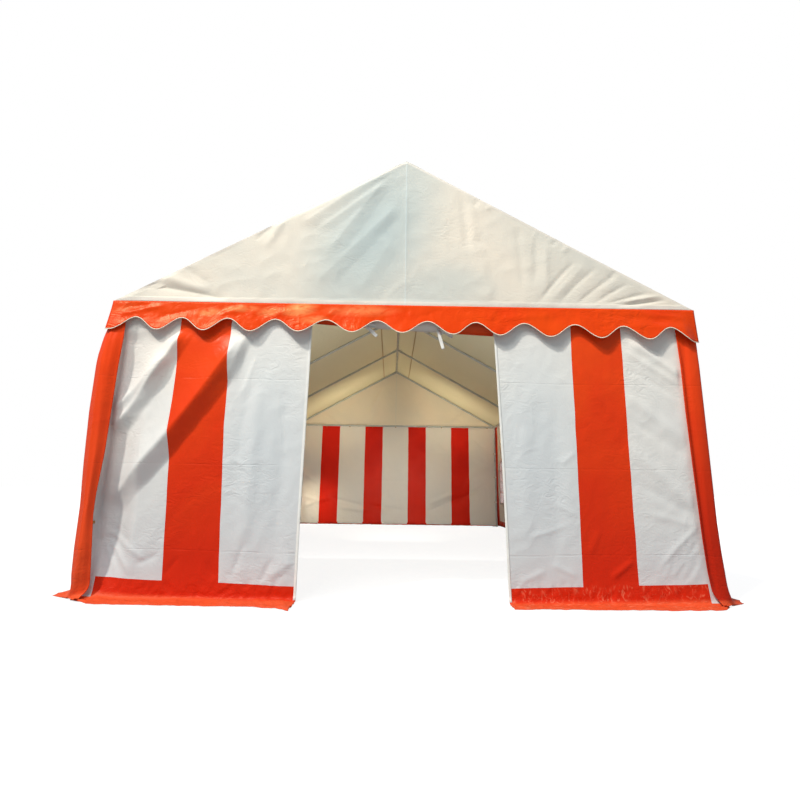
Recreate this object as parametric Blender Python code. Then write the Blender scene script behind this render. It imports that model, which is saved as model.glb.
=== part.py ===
"""Striped party tent with arched windows, built of steel tubes and coated fabric.

The tent stands on the ground with its open gable towards -Y. X runs across the
tent, Y along it and Z up, and the origin is on the ground at the middle of the
floor. All sizes are in metres.
"""
import math

import bmesh
import bpy
from mathutils import Vector

# Driving dimensions of the tent
WIDTH = 4.0
LENGTH = 8.0
EAVE_HEIGHT = 1.905
RIDGE_HEIGHT = 3.02
FRAME_COUNT = 5

# Fabric, and the clearance that touching pieces keep
FABRIC = 0.003
GAP = 0.0003

# Steel tubes and their joint sleeves
LEG_RADIUS = 0.019
POLE_RADIUS = 0.016
SLEEVE_RADIUS = 0.0215
BRANCH_RADIUS = 0.0205
SLEEVE_REACH = 0.09
TUBE_SIDES = 16

# Foot under each leg
FOOT_SIZE = 0.11
FOOT_THICKNESS = 0.004
FOOT_SLEEVE_HEIGHT = 0.06

# Walls, with the flap that lies outwards on the ground
SIDE_FLAP = 0.16
END_FLAP = 0.14
END_WALL_TOP = EAVE_HEIGHT - 0.01
GABLE_FOOT = EAVE_HEIGHT - 0.03
CORNER_STRIP = 0.14
STRIP_LIFT = 0.001
FLARE_HEIGHT = 0.12
FLARE_REACH = 0.11
FLARE_STEPS = 5
TUCK_INSET = 0.0006
TUCK_OVERLAP = 0.004
TUCK_LIFT = 0.02

# Doorway in the front wall and its rolled-up panel
DOOR_HALF_WIDTH = 0.64
ROLL_RADIUS = 0.05
ROLL_AXIS_Z = 1.80
DOOR_PANEL_TOP = 1.89
TIE_X = 0.26
TIE_WIDTH = 0.025
TIE_THICKNESS = 0.002
TIE_CORNER = 0.015

# Arched windows, two in each bay of the side walls
WINDOW_COUNT = 8
WINDOW_PITCH = 1.0
WINDOW_WIDTH = 0.28
WINDOW_SILL = 0.44
WINDOW_TOP = 1.20
FILM_THICKNESS = 0.002
FILM_MARGIN = 0.04

# Valance with a scalloped lower edge
SCALLOP_PITCH = 1 / 3
VALANCE_SHORT = 0.11
VALANCE_LONG = 0.20
SCALLOP_POINTS = 6

# Sizes that follow from the ones above
HALF_WIDTH = WIDTH / 2
HALF_LENGTH = LENGTH / 2
SLOPE = (RIDGE_HEIGHT - EAVE_HEIGHT) / HALF_WIDTH
ROOF_ANGLE = math.atan(SLOPE)
ROOF_DROP = FABRIC / math.cos(ROOF_ANGLE)
LEG_X = HALF_WIDTH - FABRIC - GAP - SLEEVE_RADIUS
END_FRAME_Y = HALF_LENGTH - 2 * (FABRIC + GAP) - SLEEVE_RADIUS
RIDGE_AXIS_Z = RIDGE_HEIGHT - (FABRIC + GAP + SLEEVE_RADIUS) / math.cos(ROOF_ANGLE)
EAVE_AXIS_Z = RIDGE_AXIS_Z - SLOPE * LEG_X
SIDE_WALL_TOP = EAVE_HEIGHT - ROOF_DROP - GAP
END_WALL_OUTSIDE = HALF_LENGTH - FABRIC - GAP
END_WALL_INSIDE = END_WALL_OUTSIDE - FABRIC
END_WALL_HALF = HALF_WIDTH - FABRIC - GAP
FRAME_SPACING = 2 * END_FRAME_Y / (FRAME_COUNT - 1)
SIDES = {"left": -1, "right": 1}

# Colours as red, green, blue
STEEL = (0.42, 0.46, 0.47)
CREAM = (0.80, 0.76, 0.66)
ORANGE = (0.83, 0.09, 0.02)
WHITE = (0.72, 0.77, 0.77)
FILM = (0.70, 0.62, 0.60)


def make_collection(name: str) -> bpy.types.Collection:
    """Adds an empty collection to the scene."""
    collection = bpy.data.collections.new(name)
    bpy.context.scene.collection.children.link(collection)
    return collection


def make_material(name: str, colour: tuple, roughness: float, metallic: float) -> bpy.types.Material:
    """Makes a plain material with the part's colour, roughness and metallic value."""
    material = bpy.data.materials.new(name)
    material.use_nodes = True
    shader = material.node_tree.nodes["Principled BSDF"]
    shader.inputs["Base Color"].default_value = (*colour, 1.0)
    shader.inputs["Roughness"].default_value = roughness
    shader.inputs["Metallic"].default_value = metallic
    return material


def link_object(name: str, mesh: bpy.types.Mesh) -> bpy.types.Object:
    """Makes an object from a mesh, in the collection of helper shapes."""
    item = bpy.data.objects.new(name, mesh)
    HELPERS.objects.link(item)
    item.hide_render = True
    item.display_type = "WIRE"
    return item


def finish(item: bpy.types.Object, colour: tuple, roughness: float, metallic: float = 0.0) -> None:
    """Turns a helper shape into a part of the tent with its own material."""
    HELPERS.objects.unlink(item)
    TENT.objects.link(item)
    item.hide_render = False
    item.display_type = "TEXTURED"
    item.parent = ORIGIN
    item.data.materials.clear()
    item.data.materials.append(make_material(item.name + "_material", colour, roughness, metallic))


def add_box(name: str, low: tuple, high: tuple) -> bpy.types.Object:
    """Adds a box between two opposite corners."""
    size = Vector(high) - Vector(low)
    mesh = bpy.data.meshes.new(name)
    shape = bmesh.new()
    bmesh.ops.create_cube(shape, size=1.0)
    bmesh.ops.scale(shape, vec=size, verts=shape.verts)
    shape.to_mesh(mesh)
    shape.free()
    item = link_object(name, mesh)
    item.location = (Vector(low) + Vector(high)) / 2
    return item


def add_tube(name: str, start: Vector, end: Vector, radius: float) -> bpy.types.Object:
    """Adds a round tube with flat ends between two points."""
    run = Vector(end) - Vector(start)
    mesh = bpy.data.meshes.new(name)
    shape = bmesh.new()
    bmesh.ops.create_cone(shape, cap_ends=True, segments=TUBE_SIDES, radius1=radius,
                          radius2=radius, depth=run.length)
    shape.to_mesh(mesh)
    shape.free()
    mesh.shade_smooth()
    mesh.set_sharp_from_angle(angle=math.radians(40))
    item = link_object(name, mesh)
    item.location = (Vector(start) + Vector(end)) / 2
    item.rotation_euler = run.to_track_quat("Z", "Y").to_euler()
    return item


def add_plate(name: str, outlines: list, along: str, low: float, high: float) -> bpy.types.Object:
    """Adds a flat piece from upright outlines, drawn out along X or along Y.

    Args:
        name: Name of the new object.
        outlines: Closed outlines, each a list of (X or Y, Z) points.
        along: Axis that the outlines are drawn out along, "X" or "Y".
        low: Where the piece starts on that axis.
        high: Where the piece ends on that axis.

    Returns:
        The new object, as a closed mesh.
    """
    curve = bpy.data.curves.new(name, "CURVE")
    curve.dimensions = "2D"
    curve.fill_mode = "BOTH"
    curve.extrude = (high - low) / 2
    for outline in outlines:
        spline = curve.splines.new("POLY")
        spline.points.add(len(outline) - 1)
        for point, (across, height) in zip(spline.points, outline):
            point.co = (across, height, 0.0, 1.0)
        spline.use_cyclic_u = True
    drawn = bpy.data.objects.new(name + "_outline", curve)
    HELPERS.objects.link(drawn)
    bpy.context.view_layer.update()
    mesh = bpy.data.meshes.new_from_object(drawn.evaluated_get(bpy.context.evaluated_depsgraph_get()))
    bpy.data.objects.remove(drawn)
    shape = bmesh.new()
    shape.from_mesh(mesh)
    bmesh.ops.remove_doubles(shape, verts=shape.verts, dist=GAP / 10)
    bmesh.ops.recalc_face_normals(shape, faces=shape.faces)
    shape.to_mesh(mesh)
    shape.free()
    item = link_object(name, mesh)
    middle = (low + high) / 2
    if along == "X":
        item.location = (middle, 0.0, 0.0)
        item.rotation_euler = (math.pi / 2, 0.0, math.pi / 2)
    else:
        item.location = (0.0, middle, 0.0)
        item.rotation_euler = (math.pi / 2, 0.0, 0.0)
    return item


def combine(item: bpy.types.Object, others: list, operation: str) -> None:
    """Joins other shapes to an item, or cuts them out of it."""
    for other in others:
        boolean = item.modifiers.new(other.name, "BOOLEAN")
        boolean.operation = operation
        boolean.solver = "EXACT"
        boolean.object = other


def frame_places() -> list:
    """Gives the Y of each portal frame, from the front to the rear."""
    return [-END_FRAME_Y + FRAME_SPACING * index for index in range(FRAME_COUNT)]


def slope_direction(side: int) -> Vector:
    """Gives the direction up the roof slope, from the eave on one side to the ridge."""
    return Vector((-side * math.cos(ROOF_ANGLE), 0.0, math.sin(ROOF_ANGLE)))


def scalloped_outline(half_length: float) -> list:
    """Draws a valance: a straight top edge and a wavy lower edge, lowest at both ends."""
    middle = (VALANCE_LONG + VALANCE_SHORT) / 2
    swing = (VALANCE_LONG - VALANCE_SHORT) / 2
    steps = round(2 * half_length / SCALLOP_PITCH) * SCALLOP_POINTS
    outline = [(half_length, EAVE_HEIGHT), (-half_length, EAVE_HEIGHT)]
    for step in range(steps + 1):
        drop = middle + swing * math.cos(math.tau * step / SCALLOP_POINTS)
        outline.append((-half_length + 2 * half_length * step / steps, EAVE_HEIGHT - drop))
    return outline


def arched_outline(centre: float) -> list:
    """Draws a window opening with a half-round top."""
    radius = WINDOW_WIDTH / 2
    outline = [(centre - radius, WINDOW_SILL), (centre + radius, WINDOW_SILL)]
    for step in range(9):
        angle = math.pi * step / 8
        outline.append((centre + radius * math.cos(angle),
                        WINDOW_TOP - radius + radius * math.sin(angle)))
    return outline


def rounded_outline(low: tuple, high: tuple, radius: float) -> list:
    """Draws a rectangle with round corners, counter-clockwise."""
    corners = [(high[0] - radius, high[1] - radius, 0), (low[0] + radius, high[1] - radius, 1),
               (low[0] + radius, low[1] + radius, 2), (high[0] - radius, low[1] + radius, 3)]
    outline = []
    for across, height, quarter in corners:
        for step in range(5):
            angle = math.pi / 2 * (quarter + step / 4)
            outline.append((across + radius * math.cos(angle), height + radius * math.sin(angle)))
    return outline


def ground_angle_outline(inside: float, outside: float, flap: float, top: float) -> list:
    """Draws a wall in section, with its flap turned outwards on the ground."""
    direction = 1 if outside > inside else -1
    return [(inside, top), (outside, top), (outside, FABRIC),
            (outside + direction * flap, FABRIC), (outside + direction * flap, 0.0), (inside, 0.0)]


def add_legs() -> None:
    """Adds ten legs, each standing on a square foot plate inside the wall."""
    top = EAVE_AXIS_Z - SLEEVE_REACH - GAP
    for side_name, side in SIDES.items():
        for number, place in enumerate(frame_places(), start=1):
            name = f"leg_{side_name}_{number}"
            leg = add_tube(name, (side * LEG_X, place, FOOT_THICKNESS / 2),
                           (side * LEG_X, place, top), LEG_RADIUS)
            edge = side * (LEG_X + SLEEVE_RADIUS)
            inner = edge - side * FOOT_SIZE
            near = place - FOOT_SIZE / 2
            if number == 1:
                near = place - SLEEVE_RADIUS
            if number == FRAME_COUNT:
                near = place + SLEEVE_RADIUS - FOOT_SIZE
            plate = add_box(name + "_plate", (min(edge, inner), near, 0.0),
                            (max(edge, inner), near + FOOT_SIZE, FOOT_THICKNESS))
            sleeve = add_tube(name + "_sleeve", (side * LEG_X, place, FOOT_THICKNESS / 4),
                              (side * LEG_X, place, FOOT_SLEEVE_HEIGHT), SLEEVE_RADIUS - GAP)
            combine(leg, [sleeve, plate], "UNION")
            finish(leg, STEEL, 0.45, 0.8)


def add_rafters() -> None:
    """Adds the sloping tubes between the eave sleeves and the ridge sleeves."""
    clear = SLEEVE_REACH + GAP
    for side_name, side in SIDES.items():
        for number, place in enumerate(frame_places(), start=1):
            eave = Vector((side * LEG_X, place, EAVE_AXIS_Z))
            ridge = Vector((0.0, place, RIDGE_AXIS_Z))
            climb = slope_direction(side)
            rafter = add_tube(f"rafter_{side_name}_{number}", eave + climb * clear,
                              ridge - climb * clear, POLE_RADIUS)
            finish(rafter, STEEL, 0.45, 0.8)


def add_eave_rails() -> None:
    """Adds the eave poles of each side, joined through the corner sleeves that carry them."""
    for side_name, side in SIDES.items():
        reach = Vector((0.0, END_FRAME_Y + SLEEVE_RADIUS / 2, 0.0))
        middle = Vector((side * LEG_X, 0.0, EAVE_AXIS_Z))
        rail = add_tube(f"eave_rail_{side_name}", middle - reach, middle + reach, POLE_RADIUS)
        sleeves = []
        for number, place in enumerate(frame_places(), start=1):
            name = f"{rail.name}_{number}"
            joint = Vector((side * LEG_X, place, EAVE_AXIS_Z))
            back = SLEEVE_RADIUS if number == 1 else SLEEVE_REACH
            front = SLEEVE_RADIUS if number == FRAME_COUNT else SLEEVE_REACH
            sleeves.append(add_tube(name + "_along", joint - Vector((0, back, 0)),
                                    joint + Vector((0, front, 0)), SLEEVE_RADIUS))
            sleeves.append(add_tube(name + "_down", joint, joint - Vector((0, 0, SLEEVE_REACH)),
                                    BRANCH_RADIUS))
            sleeves.append(add_tube(name + "_up", joint,
                                    joint + slope_direction(side) * SLEEVE_REACH, BRANCH_RADIUS))
            if number in (1, FRAME_COUNT):
                sleeves.append(add_tube(name + "_across", joint,
                                        joint - Vector((side * SLEEVE_REACH, 0, 0)), BRANCH_RADIUS))
        combine(rail, sleeves, "UNION")
        finish(rail, STEEL, 0.45, 0.8)


def add_ridge_rail() -> None:
    """Adds the ridge poles, joined through the sleeves that hold the rafters."""
    reach = Vector((0.0, END_FRAME_Y + SLEEVE_RADIUS / 2, 0.0))
    middle = Vector((0.0, 0.0, RIDGE_AXIS_Z))
    rail = add_tube("ridge_rail", middle - reach, middle + reach, POLE_RADIUS)
    sleeves = []
    for number, place in enumerate(frame_places(), start=1):
        joint = Vector((0.0, place, RIDGE_AXIS_Z))
        back = SLEEVE_RADIUS if number == 1 else SLEEVE_REACH
        front = SLEEVE_RADIUS if number == FRAME_COUNT else SLEEVE_REACH
        sleeves.append(add_tube(f"ridge_rail_{number}_along", joint - Vector((0, back, 0)),
                                joint + Vector((0, front, 0)), SLEEVE_RADIUS))
        for side_name, side in SIDES.items():
            sleeves.append(add_tube(f"ridge_rail_{number}_{side_name}", joint,
                                    joint - slope_direction(side) * SLEEVE_REACH, BRANCH_RADIUS))
    combine(rail, sleeves, "UNION")
    finish(rail, STEEL, 0.45, 0.8)


def add_tie_poles() -> None:
    """Adds the pole across each gable at eave height, which the end walls hang from."""
    reach = LEG_X - SLEEVE_REACH - GAP
    for name, place in (("tie_pole_front", -END_FRAME_Y), ("tie_pole_rear", END_FRAME_Y)):
        pole = add_tube(name, (-reach, place, EAVE_AXIS_Z), (reach, place, EAVE_AXIS_Z), POLE_RADIUS)
        finish(pole, STEEL, 0.45, 0.8)


def add_roof() -> None:
    """Adds the two sloping halves of the roof sheet, which meet at the ridge."""
    for side_name, side in SIDES.items():
        ridge_x = side * GAP / 2
        eave_x = side * HALF_WIDTH
        outline = [(ridge_x, RIDGE_HEIGHT), (eave_x, EAVE_HEIGHT),
                   (eave_x, EAVE_HEIGHT - ROOF_DROP), (ridge_x, RIDGE_HEIGHT - ROOF_DROP)]
        roof = add_plate(f"roof_{side_name}", [outline], "Y", -HALF_LENGTH, HALF_LENGTH)
        finish(roof, CREAM, 0.55)


def add_gables() -> None:
    """Adds the triangular sheet under each end of the roof."""
    lower = ROOF_DROP + GAP
    corner = RIDGE_HEIGHT - lower - SLOPE * END_WALL_HALF
    outline = [(-END_WALL_HALF, GABLE_FOOT), (END_WALL_HALF, GABLE_FOOT), (END_WALL_HALF, corner),
               (0.0, RIDGE_HEIGHT - lower), (-END_WALL_HALF, corner)]
    for name, direction in (("gable_front", -1), ("gable_rear", 1)):
        faces = sorted((direction * HALF_LENGTH, direction * (HALF_LENGTH - FABRIC)))
        gable = add_plate(name, [outline], "Y", *faces)
        finish(gable, CREAM, 0.55)


def add_valances() -> None:
    """Adds the scalloped valance along each of the four eaves."""
    for name, direction in (("valance_front", -1), ("valance_rear", 1)):
        faces = sorted(direction * (HALF_LENGTH + GAP + depth) for depth in (0.0, FABRIC))
        valance = add_plate(name, [scalloped_outline(HALF_WIDTH)], "Y", *faces)
        finish(valance, ORANGE, 0.45)
    for side_name, side in SIDES.items():
        faces = sorted(side * (HALF_WIDTH + GAP + depth) for depth in (0.0, FABRIC))
        valance = add_plate(f"valance_{side_name}", [scalloped_outline(HALF_LENGTH)], "X", *faces)
        finish(valance, ORANGE, 0.45)


def corner_strip_outline(side: int) -> list:
    """Draws the edge of a side wall that is folded round the corner, flared at its foot."""
    outer = HALF_WIDTH - FABRIC / 2
    top = GABLE_FOOT - GAP
    outline = [(side * (HALF_WIDTH - CORNER_STRIP), top), (side * outer, top)]
    for step in range(FLARE_STEPS + 1):
        share = step / FLARE_STEPS
        height = FLARE_HEIGHT + (STRIP_LIFT - FLARE_HEIGHT) * share
        outline.append((side * (outer + FLARE_REACH * share ** 2), height))
    outline.append((side * (HALF_WIDTH - CORNER_STRIP), STRIP_LIFT))
    return outline


def add_side_walls() -> None:
    """Adds the long walls with their windows, corner strips and ground flaps."""
    end = HALF_LENGTH - FABRIC / 2
    for side_name, side in SIDES.items():
        outline = ground_angle_outline(side * (HALF_WIDTH - FABRIC), side * HALF_WIDTH,
                                       SIDE_FLAP, SIDE_WALL_TOP)
        wall = add_plate(f"side_wall_{side_name}", [outline], "Y", -end, end)
        strips = []
        for end_name, direction in (("front", -1), ("rear", 1)):
            faces = sorted((direction * HALF_LENGTH, direction * (HALF_LENGTH - FABRIC)))
            strips.append(add_plate(f"{wall.name}_{end_name}_strip", [corner_strip_outline(side)],
                                    "Y", *faces))
        combine(wall, strips, "UNION")
        first = -WINDOW_PITCH * (WINDOW_COUNT - 1) / 2
        windows = [arched_outline(first + WINDOW_PITCH * index) for index in range(WINDOW_COUNT)]
        faces = sorted(side * (HALF_WIDTH + depth) for depth in (-10 * FABRIC, 10 * FABRIC))
        combine(wall, [add_plate(f"{wall.name}_windows", windows, "X", *faces)], "DIFFERENCE")
        finish(wall, WHITE, 0.5)


def add_window_films() -> None:
    """Adds one clear sheet behind the windows of each side wall."""
    reach = WINDOW_PITCH * (WINDOW_COUNT - 1) / 2 + WINDOW_WIDTH / 2 + FILM_MARGIN
    for side_name, side in SIDES.items():
        outside = HALF_WIDTH - FABRIC - GAP
        faces = sorted((side * outside, side * (outside - FILM_THICKNESS)))
        film = add_box(f"window_film_{side_name}", (faces[0], -reach, WINDOW_SILL - FILM_MARGIN),
                       (faces[1], reach, WINDOW_TOP + FILM_MARGIN))
        finish(film, FILM, 0.15)


def add_end_wall(name: str, direction: int, low: float, high: float) -> bpy.types.Object:
    """Adds part of an end wall, tucked behind the corner strip where it reaches a corner.

    Args:
        name: Name of the new object.
        direction: -1 for the front of the tent and 1 for its rear.
        low: Lowest X of the wall.
        high: Highest X of the wall.

    Returns:
        The finished wall.
    """
    edge = HALF_WIDTH - CORNER_STRIP - GAP
    outline = ground_angle_outline(direction * END_WALL_INSIDE, direction * END_WALL_OUTSIDE,
                                   END_FLAP, END_WALL_TOP)
    wall = add_plate(name, [outline], "X", max(low, -edge), min(high, edge))
    faces = sorted((direction * (END_WALL_INSIDE + TUCK_INSET),
                    direction * (END_WALL_OUTSIDE - TUCK_INSET)))
    for side_name, side in SIDES.items():
        corner = side * END_WALL_HALF
        if not low <= corner <= high:
            continue
        ends = sorted((corner, side * (edge - TUCK_OVERLAP)))
        tuck = add_box(f"{name}_{side_name}_tuck", (ends[0], faces[0], TUCK_LIFT),
                       (ends[1], faces[1], END_WALL_TOP - TUCK_INSET))
        combine(wall, [tuck], "UNION")
    finish(wall, WHITE, 0.5)
    return wall


def add_end_walls() -> None:
    """Adds the two front wall panels beside the doorway, and the rear wall."""
    add_end_wall("front_wall_left", -1, -END_WALL_HALF, -DOOR_HALF_WIDTH)
    add_end_wall("front_wall_right", -1, DOOR_HALF_WIDTH, END_WALL_HALF)
    add_end_wall("rear_wall", 1, -END_WALL_HALF, END_WALL_HALF)


def add_door() -> None:
    """Adds the door panel, rolled up under the eave and held by two fabric ties."""
    reach = DOOR_HALF_WIDTH - GAP
    front = -(END_WALL_INSIDE - GAP)
    panel = add_box("door_panel", (-reach, front, ROLL_AXIS_Z), (reach, front + FABRIC, DOOR_PANEL_TOP))
    roll_y = front + FABRIC / 2 + ROLL_RADIUS
    roll = add_tube("door_roll", (-reach + GAP, roll_y, ROLL_AXIS_Z),
                    (reach - GAP, roll_y, ROLL_AXIS_Z), ROLL_RADIUS)
    combine(panel, [roll], "UNION")
    finish(panel, WHITE, 0.5)
    inner_low = (front - GAP, ROLL_AXIS_Z - ROLL_RADIUS - GAP)
    inner_high = (roll_y + ROLL_RADIUS + GAP, EAVE_AXIS_Z + POLE_RADIUS + GAP)
    outer_low = tuple(value - TIE_THICKNESS for value in inner_low)
    outer_high = tuple(value + TIE_THICKNESS for value in inner_high)
    loop = [rounded_outline(outer_low, outer_high, TIE_CORNER + TIE_THICKNESS),
            rounded_outline(inner_low, inner_high, TIE_CORNER)]
    for side_name, side in SIDES.items():
        middle = side * TIE_X
        tie = add_plate(f"door_tie_{side_name}", loop, "X", middle - TIE_WIDTH / 2,
                        middle + TIE_WIDTH / 2)
        finish(tie, WHITE, 0.6)


for old in list(bpy.data.objects):
    bpy.data.objects.remove(old, do_unlink=True)

TENT = make_collection("party_tent")
HELPERS = make_collection("helper_shapes")
ORIGIN = bpy.data.objects.new("tent_origin", None)
TENT.objects.link(ORIGIN)

add_legs()
add_rafters()
add_eave_rails()
add_ridge_rail()
add_tie_poles()
add_roof()
add_gables()
add_valances()
add_side_walls()
add_window_films()
add_end_walls()
add_door()
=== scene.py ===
"""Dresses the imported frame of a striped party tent: sheets, valances, windows, ties and finishes.

All sizes are in metres. X runs to the right seen from the front, Y to the rear and Z up.
Each sheet is cut flat, with its own coordinates on the cloth, and then laid in its place.
"""

import logging
import math
from dataclasses import dataclass, field
from enum import Enum
from typing import Callable

import bmesh
import bpy
import numpy as np
from mathutils import Color, Matrix, Vector, noise


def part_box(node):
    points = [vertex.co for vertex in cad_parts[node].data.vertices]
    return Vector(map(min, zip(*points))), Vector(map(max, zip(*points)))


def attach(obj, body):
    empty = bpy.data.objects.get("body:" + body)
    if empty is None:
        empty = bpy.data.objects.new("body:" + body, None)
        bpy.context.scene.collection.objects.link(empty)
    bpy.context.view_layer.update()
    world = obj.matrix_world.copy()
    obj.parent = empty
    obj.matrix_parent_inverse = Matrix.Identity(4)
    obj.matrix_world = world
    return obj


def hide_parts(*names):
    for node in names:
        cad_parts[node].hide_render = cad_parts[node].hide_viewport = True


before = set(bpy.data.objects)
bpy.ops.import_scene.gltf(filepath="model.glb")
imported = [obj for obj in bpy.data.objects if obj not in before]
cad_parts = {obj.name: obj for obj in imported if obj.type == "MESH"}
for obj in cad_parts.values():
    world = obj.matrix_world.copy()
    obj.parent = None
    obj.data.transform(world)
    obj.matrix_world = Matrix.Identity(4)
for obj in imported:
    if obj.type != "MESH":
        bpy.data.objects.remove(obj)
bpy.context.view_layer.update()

ROOT = "root"
CLOTH_MAP = "cloth"
SCREEN_STEPS = 255.0
HALF = 0.5
QUARTER_TURN = math.pi / 2
OPAQUE = 1.0

FRAME_COUNT = 5
END_WALL_FACE = 3.9967
LEG_AXIS = 1.9752
EAVE_AXIS = 1.8904
LAP_GAP = 0.0033
SHEET_THICKNESS = 0.0015
TAPE_THICKNESS = 0.0012
MERGE_REACH = 0.00001
CELL_FRONT = 0.0125
CELL_GABLE = 0.0125
CELL_VALANCE = 0.0111
CELL_SIDE_VALANCE = 0.0208
CELL_ROOF = 0.05
CELL_SIDE = 0.03
CELL_REAR = 0.02

Array = np.ndarray
Material = bpy.types.Material
Piece = bpy.types.Object
Shape = bmesh.types.BMesh
Colour = tuple[float, float, float]
Point = tuple[float, float]
Curve = tuple[tuple[float, ...], tuple[float, ...]]
Place = Callable[[Array, Array, Array], Array]

log = logging.getLogger("party_tent")


def screen(red: int, green: int, blue: int) -> Colour:
    """Turns a colour as a screen shows it into the linear one that a shader needs."""
    shown = Color([value / SCREEN_STEPS for value in (red, green, blue)])
    return tuple(shown.from_srgb_to_scene_linear())


def smooth(share: Array) -> Array:
    """Eases a ramp from 0 to 1, and holds it beyond its ends."""
    held = np.clip(share, 0.0, 1.0)
    return held * held * (3 - 2 * held)


def ease(values: Array, start: float, end: float) -> Array:
    """Rises softly from 0, where the values are at the start, to 1 at the end."""
    return smooth((values - start) / (end - start))


CREAM = screen(253, 246, 231)
COOL_CREAM = screen(198, 215, 217)
WHITE = screen(248, 244, 235)
COOL_WHITE = screen(222, 232, 236)
# Painted shade: the white that the sheets darken and cool to towards the ground.
SHADED_LOW_WHITE = screen(213, 217, 220)
ORANGE = screen(246, 78, 24)
DEEP_ORANGE = screen(234, 56, 20)
# Painted shade: the orange that the stripes darken to towards the ground.
SHADED_LOW_ORANGE = screen(212, 40, 15)
# Painted sheen on the front valance.
SHEEN_ORANGE = screen(253, 160, 98)
VALANCE_ORANGE = screen(230, 72, 17)
VALANCE_SHADE = screen(222, 52, 13)
# Painted highlight: the ground flaps are painted lighter, as where they face the sky.
LIT_FLAP_ORANGE = screen(236, 98, 54)
# Painted highlight: the left corner strip's foot, paler where it faces up.
LIT_STRIP_ORANGE = screen(238, 84, 40)
# Painted shade: the right corner strip's lower part, darker where it turns from the light.
SHADED_STRIP_ORANGE = screen(190, 36, 14)
INNER_RED = screen(234, 44, 30)
INNER_SHADE = screen(214, 32, 24)
WARM_GLOSS = (1.0, 0.58, 0.26)
SOFT_GLOSS = (1.0, 0.86, 0.70)
PIPING = screen(250, 238, 214)
SEAM_BROWN = screen(170, 140, 100)
TAPE_WHITE = screen(238, 238, 232)
# Painted shade: the roof's inner face is darker and greyer, standing in for the shade under the
# roof.
SHADED_ROOF_LINING = screen(212, 214, 196)
WARM_GLOW = screen(250, 226, 186)
CREAM_GLOW = screen(250, 246, 226)
# Painted glints on the hem.
GLINT = screen(240, 130, 96)
ZINC = screen(196, 202, 202)
PALE_ZINC = screen(222, 227, 225)
DULL_ZINC = screen(158, 166, 168)
FILM_RED = screen(196, 120, 110)
BRASS = screen(176, 140, 84)
SKY_BLUE = (0.78, 0.89, 1.0)
PURE_WHITE = (1.0, 1.0, 1.0)
NEAR_WHITE = (0.88, 0.88, 0.88)
FLOOR_GREY = (0.24, 0.24, 0.24)


class Named(Enum):
    """Options whose names the parts spell in small letters."""

    @property
    def word(self) -> str:
        """The option's name as the parts spell it."""
        return self.name.lower()


class Side(Named):
    """The two long sides of the tent, by the sign of X."""

    LEFT = -1
    RIGHT = 1


class End(Named):
    """The two gable ends of the tent, by the sign of Y."""

    FRONT = -1
    REAR = 1


class FoldKind(Enum):
    """How a fold rises and falls across its line."""

    ROLL = "roll"
    CREASE = "crease"
    FLANK = "flank"


def maths(operation: str, swapped: bool = False) -> Callable[..., "Wire"]:
    """Makes a method of Wire, which adds a Math node.

    Args:
        operation: What the node works out.
        swapped: Whether the other value comes first, as it does in a reflected operator.

    Returns:
        The method.
    """
    def method(wire: "Wire", *others: "Wire | float") -> "Wire":
        """Gives what the node works out of this value and the others."""
        values = dict(enumerate((*others, wire) if swapped else (wire, *others)))
        return wire.graph.wire(wire.graph.node("ShaderNodeMath", {"operation": operation}, values))

    return method


class Wire:
    """A value in a shader, on which Python's operators add Math nodes."""

    def __init__(self, graph: "ShaderGraph", socket: bpy.types.NodeSocket) -> None:
        """Keeps the shader that the value is in and the output that gives it."""
        self.graph = graph
        self.socket = socket

    __add__, __radd__ = maths("ADD"), maths("ADD", swapped=True)
    __sub__, __rsub__ = maths("SUBTRACT"), maths("SUBTRACT", swapped=True)
    __mul__, __rmul__ = maths("MULTIPLY"), maths("MULTIPLY", swapped=True)
    __truediv__, __rtruediv__ = maths("DIVIDE"), maths("DIVIDE", swapped=True)
    __gt__, __lt__, __abs__ = maths("GREATER_THAN"), maths("LESS_THAN"), maths("ABSOLUTE")
    larger, smaller, power = maths("MAXIMUM"), maths("MINIMUM"), maths("POWER")
    sine, fraction = maths("SINE"), maths("FRACT")

    def nearest_repeat(self, pitch: float) -> "Wire":
        """Gives how far this value is from the nearest whole step of a pitch."""
        return abs((self / pitch + HALF).fraction() - HALF) * pitch

    def held(self) -> "Wire":
        """Holds the value between 0 and 1."""
        return self.larger(0.0).smaller(1.0)

    def ramp(self, start: float, end: float) -> "Wire":
        """Rises from 0, where the value is at the start, to 1 at the end."""
        return ((self - start) / (end - start)).held()


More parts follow.
